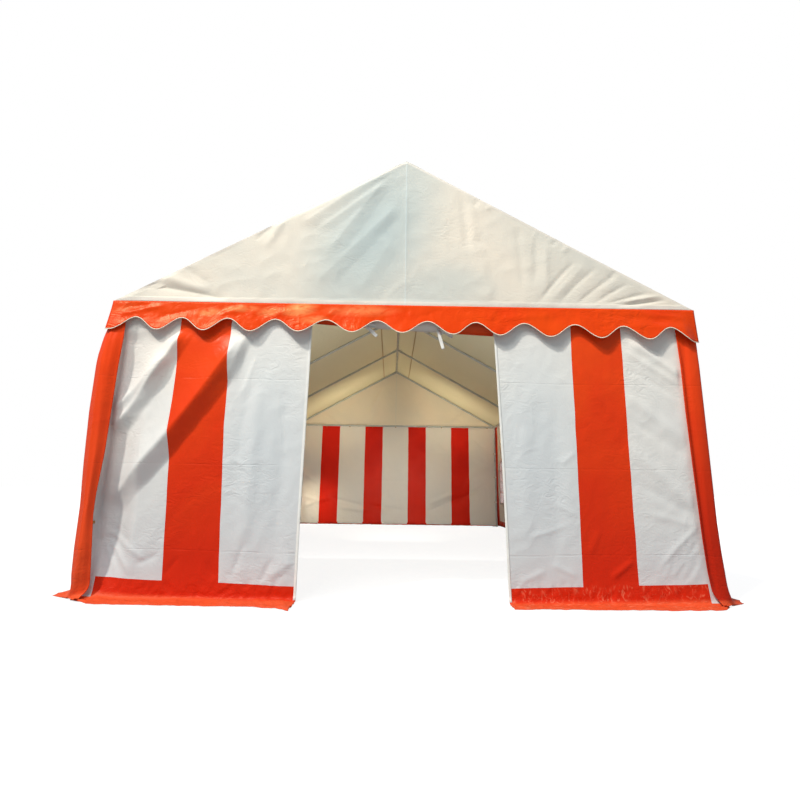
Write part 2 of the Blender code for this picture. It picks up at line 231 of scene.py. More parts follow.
class ShaderGraph:
    """The nodes of one material or world, built by expressions."""

    def __init__(self, owner: bpy.types.ID) -> None:
        """Empties the nodes of a new material or world.

        Args:
            owner: The material or world.
        """
        owner.use_nodes = True
        self.owner = owner
        self.tree = owner.node_tree
        self.tree.nodes.clear()

    def node(self, kind: str, settings: dict | None = None,
             values: dict | None = None) -> bpy.types.Node:
        """Adds a node of any kind.

        Args:
            kind: The node's type.
            settings: Its own settings by name, which are set first.
            values: Wires, numbers or colours by the name or number of the input.

        Returns:
            The new node.
        """
        made = self.tree.nodes.new(kind)
        for name, setting in (settings or {}).items():
            setattr(made, name, setting)
        for name, value in (values or {}).items():
            socket = made.inputs[name]
            if isinstance(value, Wire):
                self.tree.links.new(value.socket, socket)
            elif socket.type == "RGBA":
                socket.default_value = (*value, OPAQUE)
            else:
                socket.default_value = value
        return made

    def wire(self, node: bpy.types.Node, output: str | int = 0) -> Wire:
        """Gives one output of a node as a value."""
        return Wire(self, node.outputs[output])

    def mix(self, share: Wire | float, first: Wire | Colour, second: Wire | Colour) -> Wire:
        """Mixes two colours.

        Args:
            share: How much of the second colour there is, from 0 to 1.
            first: A colour.
            second: Another colour.

        Returns:
            The mixed colour.
        """
        made = self.node("ShaderNodeMix", {"data_type": "RGBA"}, {0: share, 6: first, 7: second})
        return self.wire(made, 2)

    def blend(self, share: Wire | float, first: bpy.types.Node,
              second: bpy.types.Node) -> bpy.types.Node:
        """Blends two shaders.

        Args:
            share: How much of the second shader there is, from 0 to 1.
            first: A shader.
            second: Another shader.

        Returns:
            The node that blends them.
        """
        return self.node("ShaderNodeMixShader", values={
            0: share, 1: self.wire(first), 2: self.wire(second)})

    def cloth_place(self) -> tuple[Wire, Wire, Wire]:
        """Gives the place on the flat cloth in metres.

        Returns:
            The place across the cloth, along it, and both as a vector.
        """
        place = self.wire(self.node("ShaderNodeUVMap", {"uv_map": CLOTH_MAP}))
        parts = self.node("ShaderNodeSeparateXYZ", values={0: place})
        return self.wire(parts, 0), self.wire(parts, 1), place

    def object_place(self) -> Wire:
        """Gives the place in the tent's own frame as a vector."""
        return self.wire(self.node("ShaderNodeTexCoord"), "Object")

    def stretched(self, place: Wire, scale: tuple[float, float, float],
                  turn: float = 0.0) -> Wire:
        """Scales and turns a place, to stretch the pattern on it."""
        made = self.node("ShaderNodeMapping", {"vector_type": "POINT"},
                         {"Vector": place, "Rotation": (0.0, 0.0, turn), "Scale": scale})
        return self.wire(made)

    def noise(self, place: Wire, scale: float, detail: float = 2.0,
              distortion: float = 0.0) -> Wire:
        """Gives soft random values about 0.5.

        Args:
            place: Where to read the pattern.
            scale: How many lumps there are to a metre.
            detail: How many finer layers it has.
            distortion: How far the pattern is stirred.

        Returns:
            The value.
        """
        made = self.node("ShaderNodeTexNoise", {"noise_dimensions": "3D"},
                         {"Vector": place, "Scale": scale, "Detail": detail,
                          "Distortion": distortion})
        return self.wire(made)

    def creases(self, place: Wire, scale: float, distortion: float) -> Wire:
        """Gives sharp random crests, as in a sheet that was crumpled and pulled flat."""
        return 1.0 - abs(self.noise(place, scale, 1.0, distortion) - HALF) * 4.0

    def bump(self, height: Wire, distance: float = 1.0) -> Wire:
        """Turns a height into a surface direction, with the height's size in metres."""
        return self.wire(self.node("ShaderNodeBump", values={
            "Strength": 1.0, "Distance": distance, "Height": height}))

    def finish(self, shader: bpy.types.Node, output: str = "Material") -> bpy.types.ID:
        """Ends the graph with this shader, and gives the material or world."""
        self.node(f"ShaderNodeOutput{output}", values={"Surface": self.wire(shader)})
        return self.owner


@dataclass(frozen=True)
class Finish:
    """A finish, which makes the material of its name."""

    name: str

    def start(self) -> ShaderGraph:
        """Starts the material."""
        return ShaderGraph(bpy.data.materials.new(self.name))


@dataclass(frozen=True)
class Stripes:
    """Where coloured stripes run along a sheet, measured across it from the tent's middle."""

    centres: tuple[float, ...] = ()
    half_width: float = 0.175
    pitch: float = 0.0
    last_centre: float = 0.0
    beyond: float = 50.0
    widened_below: float = -50.0
    widened_above: float = 50.0
    widening: float = 0.014

    def mask(self, across: Wire, along: Wire) -> Wire:
        """Gives 1 on the stripes.

        Args:
            across: The place across the sheet.
            along: The place along it.

        Returns:
            The mask.
        """
        distance = abs(across)
        folded_over = (along < self.widened_below).larger(along > self.widened_above)
        reach = self.half_width + folded_over * self.widening
        mask = distance > self.beyond
        if self.pitch:
            repeated = across.nearest_repeat(self.pitch) < reach
            mask = mask.larger(repeated * (distance < self.last_centre + self.pitch * HALF))
        for centre in self.centres:
            mask = mask.larger(abs(distance - centre) < reach)
        return mask


@dataclass(frozen=True)
class Tint:
    """A soft patch of painted light on a sheet: a cooler painted shade, or a painted sheen."""

    centre: Point
    reach: Point
    lean: float = 0.0
    strength: float = 1.0
    fade: float = 1.5

    def mask(self, across: Wire, along: Wire) -> Wire:
        """Gives the patch's strength, fading to nothing at its reach.

        Args:
            across: The place across the sheet.
            along: The place along it.

        Returns:
            The strength.
        """
        rise = along - self.centre[1]
        off = (across - self.centre[0] - rise * self.lean) / self.reach[0]
        run = rise / self.reach[1]
        far = off * off + run * run
        return (1.0 - far).held().power(self.fade) * self.strength


@dataclass(frozen=True)
class CoatedSheet(Finish):
    """Coated woven sheet: a fine weave under a film with a slight gloss, creased from packing."""

    ground: Colour
    shade: Colour
    stripe_colour: Colour = ORANGE
    stripe_shade: Colour = DEEP_ORANGE
    stripes: Stripes | None = None
    all_coloured: bool = False
    hem_top: float = -50.0
    hem_from: float = -50.0
    hem_end: float = 50.0
    hem_lean: float = 0.0
    hem_glints: float = 0.0
    hem_waver: float = 0.012
    packing_rows: tuple[float, ...] = ()
    packing_depth: float = 0.0008
    packing_wander: float = 0.016
    crease_width: float = 0.005
    seams: tuple[float, ...] = ()
    seam_colour: Colour = COOL_CREAM
    seam_share: float = 0.3
    seam_half_width: float = 0.012
    seam_rise: float = 0.0006
    tints: tuple[Tint, ...] = ()
    # The colour of a painted sheen in the patches, where one is given.
    sheen_colour: Colour | None = None
    # Painted light towards the ground: painted shade on the ground colour, and on the stripes
    # painted shade or a painted highlight.
    shaded_low_ground: Colour = SHADED_LOW_WHITE
    low_from: float = 1.45
    low_to: float = 0.25
    painted_low_share: float = 0.0
    painted_low_stripe: Colour = SHADED_LOW_ORANGE
    # How much lighter the ground flap is painted, a painted highlight.
    lit_flap_share: float = 0.7
    trim_top: float = -50.0
    gable_top: Point | None = None
    trim_width: float = 0.016
    see_through: float = 0.16
    glow: Colour = WARM_GLOW
    crumple: float = 1.0
    roughness: float = 0.52
    stripe_roughness: float = 0.34
    uneven_roughness: float = 0.16
    gloss: float = 0.22
    gloss_tint: Colour = SOFT_GLOSS
    weave_pitch: float = 0.004
    weave_depth: float = 0.00005

    def make(self) -> Material:
        """Builds the material, which reads its pattern from the cloth's own map.

        Returns:
            The material.
        """
        graph = self.start()
        across, along, place = graph.cloth_place()
        mask = self._coloured_share(graph, across, along, place)
        # Painted shade towards the ground: the sheet darkens and cools from the top down, on the
        # ground colour and on the stripes.
        low = along.ramp(self.low_from, self.low_to) * self.painted_low_share
        seam = self._lines(across, self.seams, self.seam_half_width)
        base = self._colour(graph, across, along, place, mask, low)
        base = graph.mix(seam * self.seam_share, base, self.seam_colour)
        uneven = graph.noise(place, 9.0) - HALF + along.ramp(0.09, 0.0)
        gloss = self.roughness + mask * (self.stripe_roughness - self.roughness)
        rough = (gloss + uneven * self.uneven_roughness).held()
        normal = graph.bump(self._height(graph, across, along, place, seam))
        solid = graph.node("ShaderNodeBsdfPrincipled", values={
            "Base Color": base, "Roughness": rough, "Normal": normal,
            "Specular IOR Level": self.gloss, "Specular Tint": self.gloss_tint})
        behind = graph.mix(mask, self.glow, self.stripe_colour)
        through = graph.node("ShaderNodeBsdfTranslucent",
                             values={"Color": behind, "Normal": normal})
        return graph.finish(graph.blend(self.see_through * (1.0 - seam * HALF), solid, through))

    def _colour(self, graph: ShaderGraph, across: Wire, along: Wire, place: Wire, mask: Wire,
                low: Wire) -> Wire:
        """Mixes the sheet's ground, its stripes, their soft patches, the trims and the painted
        light on them.

        Args:
            graph: The material's graph.
            across: The place across the cloth.
            along: The place along it.
            place: Both as a vector.
            mask: 1 on the coloured stripes.
            low: How far the painted shade towards the ground goes; on the left wall's strip it is a
                painted highlight.

        Returns:
            The colour.
        """
        cool = (graph.noise(place, 1.3, 3.0, 0.4) * 2.4 - 0.7).held() * 0.4
        patch = across * 0.0
        # Painted shade: the tints' patches turn the ground towards the cooler shade colour,
        # standing in for shade and sky reflection; where a sheen colour is given they place the
        # painted sheen instead.
        for tint in self.tints:
            patch = patch.larger(tint.mask(across, along))
        if not self.sheen_colour:
            cool = cool * (1.0 - patch) + patch
        ground = graph.mix(low, graph.mix(cool.held(), self.ground, self.shade), self.shaded_low_ground)
        if self.trim_top > 0:
            ground = graph.mix((along < self.trim_top) * 0.9, ground, WHITE)
        if self.gable_top:
            under = self.gable_top[0] - abs(across) * self.gable_top[1] - along
            ground = graph.mix((under < self.trim_width) * 0.6, ground, WHITE)
        faded = (graph.noise(place, 2.1, 4.0, 0.8) * 2.6 - 0.8).held() * 0.7
        coloured = graph.mix(faded, self.stripe_colour, self.stripe_shade)
        coloured = graph.mix(low, coloured, self.painted_low_stripe)
        # Painted highlight: the flap lying on the ground is painted lighter, as where it faces the
        # sky.
        coloured = graph.mix(along.ramp(0.035, 0.005) * self.lit_flap_share, coloured, LIT_FLAP_ORANGE)
        if self.hem_glints:
            glints = self._glints(graph, across, along, place) * self.hem_glints
            coloured = graph.mix(glints, coloured, GLINT)
        # Painted sheen: pale streaks within the patches stand in for glossy highlights on the
        # valance.
        if self.sheen_colour:
            streaks = graph.noise(graph.stretched(place, (1.0, 2.2, 1.0), 0.4), 12.0, 4.0, 1.2)
            worn = (patch * (streaks * 3.0 - 0.6).held()).held()
            coloured = graph.mix(worn, coloured, self.sheen_colour)
        return graph.mix(mask, ground, coloured)

    @staticmethod
    def _glints(graph: ShaderGraph, across: Wire, along: Wire, place: Wire) -> Wire:
        """Gives fine painted glints on the right half's hem, upright above and level on the flap.

        Args:
            graph: The material's graph.
            across: The place across the cloth.
            along: The place along it.
            place: Both as a vector.

        Returns:
            The streaks' strength.
        """
        upright = graph.noise(graph.stretched(place, (1.0, 0.5, 1.0), 0.35), 34.0, 6.0, 2.0)
        level = graph.noise(graph.stretched(place, (0.35, 1.8, 1.0)), 44.0, 6.0, 1.2)
        streak = upright + along.ramp(0.03, 0.01) * (level - upright)
        patchy = (graph.noise(place, 9.0) * 5.0 - 1.7).held() * along.ramp(0.125, 0.095)
        return ((streak - 0.52) * 7.0).held() * patchy * (across > 0.0)

    def _coloured_share(self, graph: ShaderGraph, across: Wire, along: Wire, place: Wire) -> Wire:
        """Gives 1 on stripes and hems, with edges that waver as a welded seam does.

        Args:
            graph: The material's graph.
            across: The place across the cloth.
            along: The place along it.
            place: Both as a vector.

        Returns:
            The mask.
        """
        if self.all_coloured:
            return across * 0.0 + 1.0
        waver = (graph.noise(place, 3.0, 1.0) - HALF) * self.hem_waver
        ends = (self.hem_top - along) * self.hem_lean + self.hem_end
        within = ((across - self.hem_from) > 0.0) * ((across - ends) < 0.0)
        mask = ((along + waver) < self.hem_top) * within.larger(along < 0.0)
        if self.stripes:
            mask = mask.larger(self.stripes.mask(across + waver, along))
        return mask

    @staticmethod
    def _lines(place: Wire, lines: tuple[float, ...], half_width: float) -> Wire:
        """Gives 1 on lines across the cloth, fading to 0 at their edges.

        Args:
            place: The place that the lines are measured by.
            lines: Where each line is.
            half_width: How far a line reaches each way.

        Returns:
            The mask.
        """
        total = place * 0.0
        for line in lines:
            total = total.larger(1.0 - abs(place - line) / half_width)
        return (total * 2.0).held()

    def _height(self, graph: ShaderGraph, across: Wire, along: Wire, place: Wire,
                seam: Wire) -> Wire:
        """Gives the fine relief: crumples, packing creases, seams and weave.

        Args:
            graph: The material's graph.
            across: The place across the cloth.
            along: The place along it.
            place: Both as a vector.
            seam: 1 on the seams.

        Returns:
            The height in metres.
        """
        coarse = graph.creases(graph.stretched(place, (1.0, 0.7, 1.0), 0.5), 4.2, 1.2)
        fine = graph.creases(graph.stretched(place, (1.0, 1.8, 1.0), -0.7), 12.0, 1.1)
        tiny = graph.creases(graph.stretched(place, (1.0, 1.5, 1.0), 0.9), 34.0, 0.8)
        where = (graph.noise(place, 2.3, 1.0) * 4.0 - 1.7).held()
        height = coarse * 0.0016 + fine * (where + 0.25) * 0.0011
        height = height + tiny * (where * 0.0003 + along.ramp(0.14, 0.06) * 0.0007)
        wander = (graph.noise(place, 4.0) - HALF) * self.packing_wander
        rows = self._lines(along + wander, self.packing_rows, self.crease_width)
        pressed = (graph.noise(place, 5.0, 1.0) * 3.0 - 0.8).held()
        height = height * self.crumple - rows * pressed * self.packing_depth
        turn = math.tau / self.weave_pitch
        weave = (across * turn).sine() * (along * turn).sine()
        return height + weave * self.weave_depth + seam * self.seam_rise


@dataclass(frozen=True)
class GalvanisedSteel(Finish):
    """Zinc-coated tube with faint spangle, streaks and duller handled patches."""

    roughness: float = 0.42
    metallic: float = 0.15
    spangle: float = 140.0
    relief: float = 0.0003

    def make(self) -> Material:
        """Builds the material on the tent's own frame.

        Returns:
            The material.
        """
        graph = self.start()
        place = graph.object_place()
        spangle = graph.wire(graph.node("ShaderNodeTexVoronoi", {"feature": "F1"},
                                        {"Vector": place, "Scale": self.spangle}), "Color")
        grain = graph.wire(graph.node("ShaderNodeSeparateXYZ", values={0: spangle}))
        patches = graph.noise(place, 7.0, 4.0, 0.5)
        light = graph.mix(grain * HALF, ZINC, PALE_ZINC)
        base = graph.mix((patches * 2.2 - 0.75).held() * 0.6, light, DULL_ZINC)
        rough = self.roughness + (patches - HALF) * 0.3 + grain * 0.08
        scratches = graph.noise(graph.stretched(place, (60.0, 60.0, 3.0)), 4.0)
        return graph.finish(graph.node("ShaderNodeBsdfPrincipled", values={
            "Base Color": base, "Metallic": self.metallic, "Roughness": rough.held(),
            "Normal": graph.bump(scratches + grain * 0.4, self.relief)}))


@dataclass(frozen=True)
class ClearFilm(Finish):
    """Thin clear plastic film with a reddish tint, slightly rippled."""

    opacity: float = 0.35
    roughness: float = 0.04
    coat: float = 0.3
    relief: float = 0.004

    def make(self) -> Material:
        """Builds the material, read from the cloth's own map.

        Returns:
            The material.
        """
        graph = self.start()
        place = graph.cloth_place()[2]
        haze = graph.noise(place, 5.0, 3.0, 0.5)
        base = graph.mix((haze * 2.0 - HALF).held() * HALF, FILM_RED, DEEP_ORANGE)
        ripple = graph.noise(graph.stretched(place, (1.0, 0.35, 1.0)), 14.0, 1.0, 0.6)
        return graph.finish(graph.node("ShaderNodeBsdfPrincipled", values={
            "Base Color": base, "Roughness": haze * 0.14 + self.roughness,
            "Normal": graph.bump(ripple, self.relief),
            "Alpha": haze * 0.3 + self.opacity, "Coat Weight": self.coat}))


@dataclass(frozen=True)
class WovenTape(Finish):
    """Sewn webbing tape with cross ribs and worn patches."""

    colour: Colour
    roughness: float = 0.7
    rib_pitch: float = 0.003
    worn_tone: float = 0.78
    relief: float = 0.00025

    def make(self) -> Material:
        """Builds the material, read from the cloth's own map.

        Returns:
            The material.
        """
        graph = self.start()
        across, along, place = graph.cloth_place()
        turn = math.tau / self.rib_pitch
        ribs = (along * turn).sine() * HALF + (across * turn).sine() * HALF
        worn = graph.noise(place, 22.0, 3.0)
        dulled = tuple(value * self.worn_tone for value in self.colour)
        base = graph.mix((worn * 2.0 - 0.6).held() * HALF, self.colour, dulled)
        return graph.finish(graph.node("ShaderNodeBsdfPrincipled", values={
            "Base Color": base, "Roughness": self.roughness + (worn - HALF) * 0.2,
            "Normal": graph.bump(ribs + worn, self.relief)}))


@dataclass(frozen=True)
class MouldedFitting(Finish):
    """Moulded or cast fitting with a fine grain and rubbed patches."""

    colour: Colour
    metallic: float = 0.0
    roughness: float = 0.5
    relief: float = 0.0002

    def make(self) -> Material:
        """Builds the material on the tent's own frame.

        Returns:
            The material.
        """
        graph = self.start()
        place = graph.object_place()
        rubbed = graph.noise(place, 40.0, 3.0)
        lighter = tuple(min(1.0, value * 1.6 + 0.02) for value in self.colour)
        base = graph.mix((rubbed * 2.0 - 0.8).held() * HALF, self.colour, lighter)
        return graph.finish(graph.node("ShaderNodeBsdfPrincipled", values={
            "Base Color": base, "Metallic": self.metallic,
            "Roughness": self.roughness + (rubbed - HALF) * 0.3,
            "Normal": graph.bump(graph.noise(place, 300.0), self.relief)}))


@dataclass(frozen=True)
class Fold:
    """A fold along a straight line on the flat cloth.

    A ROLL is a soft crest along its line, and a CREASE a sharp one. A FLANK rises across its
    line, to its left seen from start to end, and falls off slowly beyond.
    """

    start: Point
    end: Point
    rise: float
    spread: float
    kind: FoldKind = FoldKind.ROLL
    flare: float = 1.0
    decay: float = 3.0
    bend: float = 0.0
    firmness: float = 1.1
    flank_firmness: float = 1.6
    flank_straight: float = 0.75

    @classmethod
    def rows(cls, kind: FoldKind, *rows: tuple[float, ...]) -> tuple["Fold", ...]:
        """Makes several folds of one kind.

        Args:
            kind: Their kind.
            rows: For each, its start and end across and along, rise and spread, and where they
                differ from the usual its flare, decay and bend.

        Returns:
            The folds.
        """
        return tuple(cls(row[:2], row[2:4], row[4], row[5], kind, *row[6:]) for row in rows)

    def height(self, across: Array, along: Array) -> Array:
        """Gives how far the cloth stands out at each place.

        Args:
            across: Places across the cloth.
            along: Places along it.

        Returns:
            One height for each place.
        """
        run_x, run_y = self.end[0] - self.start[0], self.end[1] - self.start[1]
        length = math.hypot(run_x, run_y)
        run_x, run_y = run_x / length, run_y / length
        left, up = across - self.start[0], along - self.start[1]
        share = (left * run_x + up * run_y) / length
        bow = self.bend * 4 * share * (1 - share)
        off = -left * run_y + up * run_x - np.where(np.abs(share - HALF) < 1, bow, 0.0)
        width = self.spread * (1 + (self.flare - 1) * np.clip(share, 0.0, 1.0))
        firmness = self.flank_firmness if self.kind is FoldKind.FLANK else self.firmness
        fade = smooth(np.clip(1 - (2 * share - 1) ** 2, 0.0, 1.0) * firmness)
        if self.kind is FoldKind.CREASE:
            shape = np.exp(-np.abs(off) / width)
        elif self.kind is FoldKind.FLANK:
            ramp = np.clip((off / width + 1) / 2, 0.0, 1.0)
            ramp = self.flank_straight * ramp + (1 - self.flank_straight) * smooth(ramp)
            shape = ramp * np.exp(-np.maximum(off - width, 0) / (width * self.decay))
        else:
            shape = np.exp(-(off / width) ** 2)
        return self.rise * shape * fade


@dataclass(frozen=True)
class Ripple:
    """Random undulation of a cloth, stretched along it."""

    size: float
    rise: float
    seed: float
    stretch: float = 1.0
    turn: float = 0.0
    sharp: bool = False

    def height(self, across: Array, along: Array) -> Array:
        """Gives how far the cloth stands out at each place.

        Args:
            across: Places across the cloth.
            along: Places along it.

        Returns:
            One height for each place.
        """
        cosine, sine = math.cos(self.turn), math.sin(self.turn)
        first = (across * cosine - along * sine) / self.size
        second = (across * sine + along * cosine) / (self.size * self.stretch)
        values = np.array([noise.noise(Vector((x, y, self.seed)))
                           for x, y in zip(first.tolist(), second.tolist())])
        if self.sharp:
            values = HALF - np.abs(values) * 2
        return values * self.rise


@dataclass(frozen=True)
class Relief:
    """All the folds and undulations of one cloth."""

    folds: tuple[Fold, ...] = ()
    ripples: tuple[Ripple, ...] = ()

    def height(self, across: Array, along: Array) -> Array:
        """Gives how far the cloth stands out at each place."""
        shapes = (*self.folds, *self.ripples)
        return sum((shape.height(across, along) for shape in shapes), np.zeros_like(across))


@dataclass(frozen=True)
class GroundFlap:
    """The foot of a hanging sheet, which bends outwards and lies on the ground in small lumps."""

    lumps: Relief
    length: float = 0.14
    bend: float = 0.035
    lift: float = 0.0035
    lump_rise: float = 0.020
    lump_squeeze: float = 1.5
    lumps_from: float = 0.03
    lumps_fade: float = 0.05
    edge_reach: float = 0.02
    edge_fade: float = 0.06

    def lay(self, across: Array, along: Array, bend: Array | float) -> tuple[Array, Array]:
        """Turns the foot outwards on the ground.

        Args:
            across: Places across the flat cloth.
            along: Heights on it, below 0 on the flap.
            bend: How wide the bend is at each place.

        Returns:
            How far out each place is, and how high.
        """
        start = bend + self.lift
        angle = np.clip((start - along) / bend, 0.0, QUARTER_TURN)
        beyond = np.maximum(start - QUARTER_TURN * bend - along, 0.0)
        out = bend * (1 - np.cos(angle)) + beyond
        height = np.where(along > start, along, start - bend * np.sin(angle))
        edge = -self.length - self.edge_reach
        lying = ease(along, self.lumps_from, self.lumps_from - self.lumps_fade)
        lying = lying * ease(along, edge, edge + self.edge_fade)
        lumps = np.abs(self.lumps.height(across, along * self.lump_squeeze))
        return out, height + lumps * self.lump_rise * lying


def spread_places(stops: tuple[float, ...], cell: float) -> Array:
    """Divides the runs between stops into equal cells of at most a given size.

    Args:
        stops: Places that a line of points has to fall on, in order.
        cell: The largest cell.

    Returns:
        All the places, in order.
    """
    rounding = 1e-6
    places = [stops[0]]
    for low, high in zip(stops, stops[1:]):
        count = max(1, math.ceil((high - low) / cell - rounding))
        places.extend(low + (high - low) * (step + 1) / count for step in range(count))
    return np.array(places)


def linked(name: str, data: bpy.types.ID) -> Piece:
    """Puts an object with this data in the scene.

    Args:
        name: The object's name.
        data: Its mesh, camera or light.

    Returns:
        The object.
    """
    made = bpy.data.objects.new(name, data)
    bpy.context.scene.collection.objects.link(made)
    return made


def new_piece(name: str, mesh: bpy.types.Mesh, material: Material) -> Piece:
    """Puts a mesh in the scene as a piece that rides on the tent's body.

    Args:
        name: The piece's name.
        mesh: Its mesh, in the tent's own frame.
        material: Its finish.

    Returns:
        The piece.
    """
    piece = linked(name, mesh)
    mesh.materials.append(material)
    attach(piece, ROOT)
    return piece


@dataclass
class FlatCut:
    """Cloth or tape as it is cut, flat: X across it, Y along it and Z above its face."""

    name: str
    mesh: Shape = field(default_factory=bmesh.new)

    def add_grid(self, columns: Array, rows: Array,
                 shape: Callable[[float, float], tuple] | None = None) -> list:
        """Adds a grid of cells.

        Args:
            columns: Places of the grid's lines across.
            rows: Places of its lines along.
            shape: Gives a point's place on the cloth from its column and row, if it moves.

        Returns:
            The new points.
        """
        wide, high = len(columns) - 1, len(rows) - 1
        points = bmesh.ops.create_grid(self.mesh, x_segments=wide, y_segments=high,
                                       size=HALF)["verts"]
        for point in points:
            column = columns[round((point.co.x + HALF) * wide)]
            row = rows[round((point.co.y + HALF) * high)]
            point.co = shape(column, row) if shape else (column, row, 0.0)
        return points

    def add_strip(self, low: Point, high: Point, above: float, cells: Point = (0.02, 0.03)) -> None:
        """Adds a straight strip of tape.

        Args:
            low: Its lowest place across and along.
            high: Its highest place across and along.
            above: How far it lies above the cloth.
            cells: Its largest cell, across and along.
        """
        points = self.add_grid(*(spread_places(stops, cell)
                                 for stops, cell in zip(zip(low, high), cells)))
        for point in points:
            point.co.z = above

    def lay(self, place: Place, material: Material,
            outward: tuple[float, float, float] | None = None,
            thickness: float = SHEET_THICKNESS, offset: float = -1.0,
            pattern: Callable[[Array, Array], tuple] | None = None) -> Piece:
        """Lays the cut in its place, and gives it its thickness.

        Args:
            place: Gives the points in the tent from the places on the cloth.
            material: The finish.
            outward: Roughly the way the outer face looks, or None to leave the faces as made.
            thickness: How thick the cloth is.
            offset: -1 to thicken inwards from the laid face, and 0 both ways.
            pattern: Gives the pattern's coordinates from the cloth's, where it is skewed.

        Returns:
            The piece.
        """
        mesh = bpy.data.meshes.new(self.name)
        self.mesh.to_mesh(mesh)
        self.mesh.free()
        flat = np.empty(len(mesh.vertices) * 3)
        mesh.vertices.foreach_get("co", flat)
        across, along, above = flat.reshape(-1, 3).T
        marks = np.column_stack(pattern(across, along) if pattern else (across, along))
        corners = np.empty(len(mesh.loops), dtype=np.int32)
        mesh.loops.foreach_get("vertex_index", corners)
        mesh.uv_layers.new(name=CLOTH_MAP).uv.foreach_set("vector", marks[corners].ravel())
        mesh.vertices.foreach_set("co", place(across, along, above).ravel())
        mesh.update()
        if outward:
            facing = sum((face.normal * face.area for face in mesh.polygons), Vector())
            if facing.dot(Vector(outward)) < 0:
                mesh.flip_normals()
        mesh.shade_smooth()
        piece = new_piece(self.name, mesh, material)
        if thickness:
            solid = piece.modifiers.new("thickness", "SOLIDIFY")
            solid.thickness = thickness
            solid.offset = offset
            solid.use_even_offset = False
        return piece


@dataclass(frozen=True)
class TentSizes:
    """The tent's main sizes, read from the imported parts."""

    half_width: float
    half_length: float
    eave: float
    ridge: float
    valance_low: float
    wall_top: float
    end_wall_top: float
    gable_foot: float
    door_half: float
    frames: tuple[float, ...]

    @classmethod
    def read(cls) -> "TentSizes":
        """Reads them from the frame.

        Returns:
            The sizes.
        """
        roof_low, roof_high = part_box("roof_left")
        valance_low, valance_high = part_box("valance_front")
        _, wall_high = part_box("side_wall_left")
        panel_low, panel_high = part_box("front_wall_right")
        gable_low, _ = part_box("gable_front")
        rafters = [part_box(f"rafter_left_{number}") for number in range(1, FRAME_COUNT + 1)]
        places = tuple((low[1] + high[1]) / 2 for low, high in rafters)
        return cls(-roof_low[0], roof_high[1], valance_high[2], roof_high[2], valance_low[2],
                   wall_high[2], panel_high[2], gable_low[2], panel_low[0], places)

    @property
    def slope(self) -> float:
        """How far the roof falls for each metre across."""
        return (self.ridge - self.eave) / self.half_width

    @property
    def slope_length(self) -> float:
        """The roof sheet's length from the ridge to an eave."""
        return math.hypot(self.half_width, self.ridge - self.eave)

    def between_frames(self, along: Array) -> Array:
        """Gives 0 at each frame of tubes and 1 halfway between two, along the tent."""
        spacing = self.frames[1] - self.frames[0]
        return np.abs(np.sin(np.pi * (along - self.frames[0]) / spacing))


@dataclass
class RoofSheet:
    """The one sheet over both slopes, sagging a little between the rafters."""

    sizes: TentSizes
    sag: float = 0.016
    sag_power: float = 0.75
    hang_power: float = 0.8
    ridge_round: float = 0.008
    ridge_reach: float = 0.1
    ripples: Relief = Relief(ripples=(Ripple(0.5, 0.006, 3.0, 2.5, QUARTER_TURN),
                                      Ripple(0.16, 0.003, 8.0, 3.0, QUARTER_TURN, True)))

    def place(self, across: Array, along: Array, above: Array) -> Array:
        """Lays the sheet over the frames.

        Args:
            across: Places across the cloth.
            along: Places along it.
            above: How far above its face they are.

        Returns:
            The points in the tent.
        """
        sizes = self.sizes
        out = np.abs(across) * sizes.half_width / sizes.slope_length
        rounded = np.sqrt(out ** 2 + self.ridge_round ** 2) - self.ridge_round / 4
        drop = np.where(out < self.ridge_reach, rounded, out)
        bay = sizes.between_frames(along)
        hang = np.sin(np.pi * np.clip(out / sizes.half_width, 0.0, 1.0)) ** self.hang_power
        low = self.sag * bay ** self.sag_power * hang
        ruck = self.ripples.height(across, along) * bay * hang
        height = sizes.ridge - sizes.slope * drop - low + np.minimum(ruck, low)
        return np.column_stack((np.sign(across) * out, along, height + above))

    def build(self, finish: Material, shaded_lining: Material) -> Piece:
        """Builds the sheet.

        Args:
            finish: The outer face's material.
            shaded_lining: The inner face's material, painted darker as shade under the roof.

        Returns:
            The piece.
        """
        sizes = self.sizes
        reach = sizes.slope_length
        cut = FlatCut("roof_sheet")
        stops = (-sizes.half_length, *sizes.frames, sizes.half_length)
        cut.add_grid(spread_places((-reach, 0.0, reach), CELL_ROOF),
                     spread_places(stops, CELL_ROOF))
        sheet = cut.lay(self.place, finish, (0.0, 0.0, 1.0))
        sheet.data.materials.append(shaded_lining)
        sheet.modifiers["thickness"].material_offset = 1
        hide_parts("roof_left", "roof_right")
        return sheet


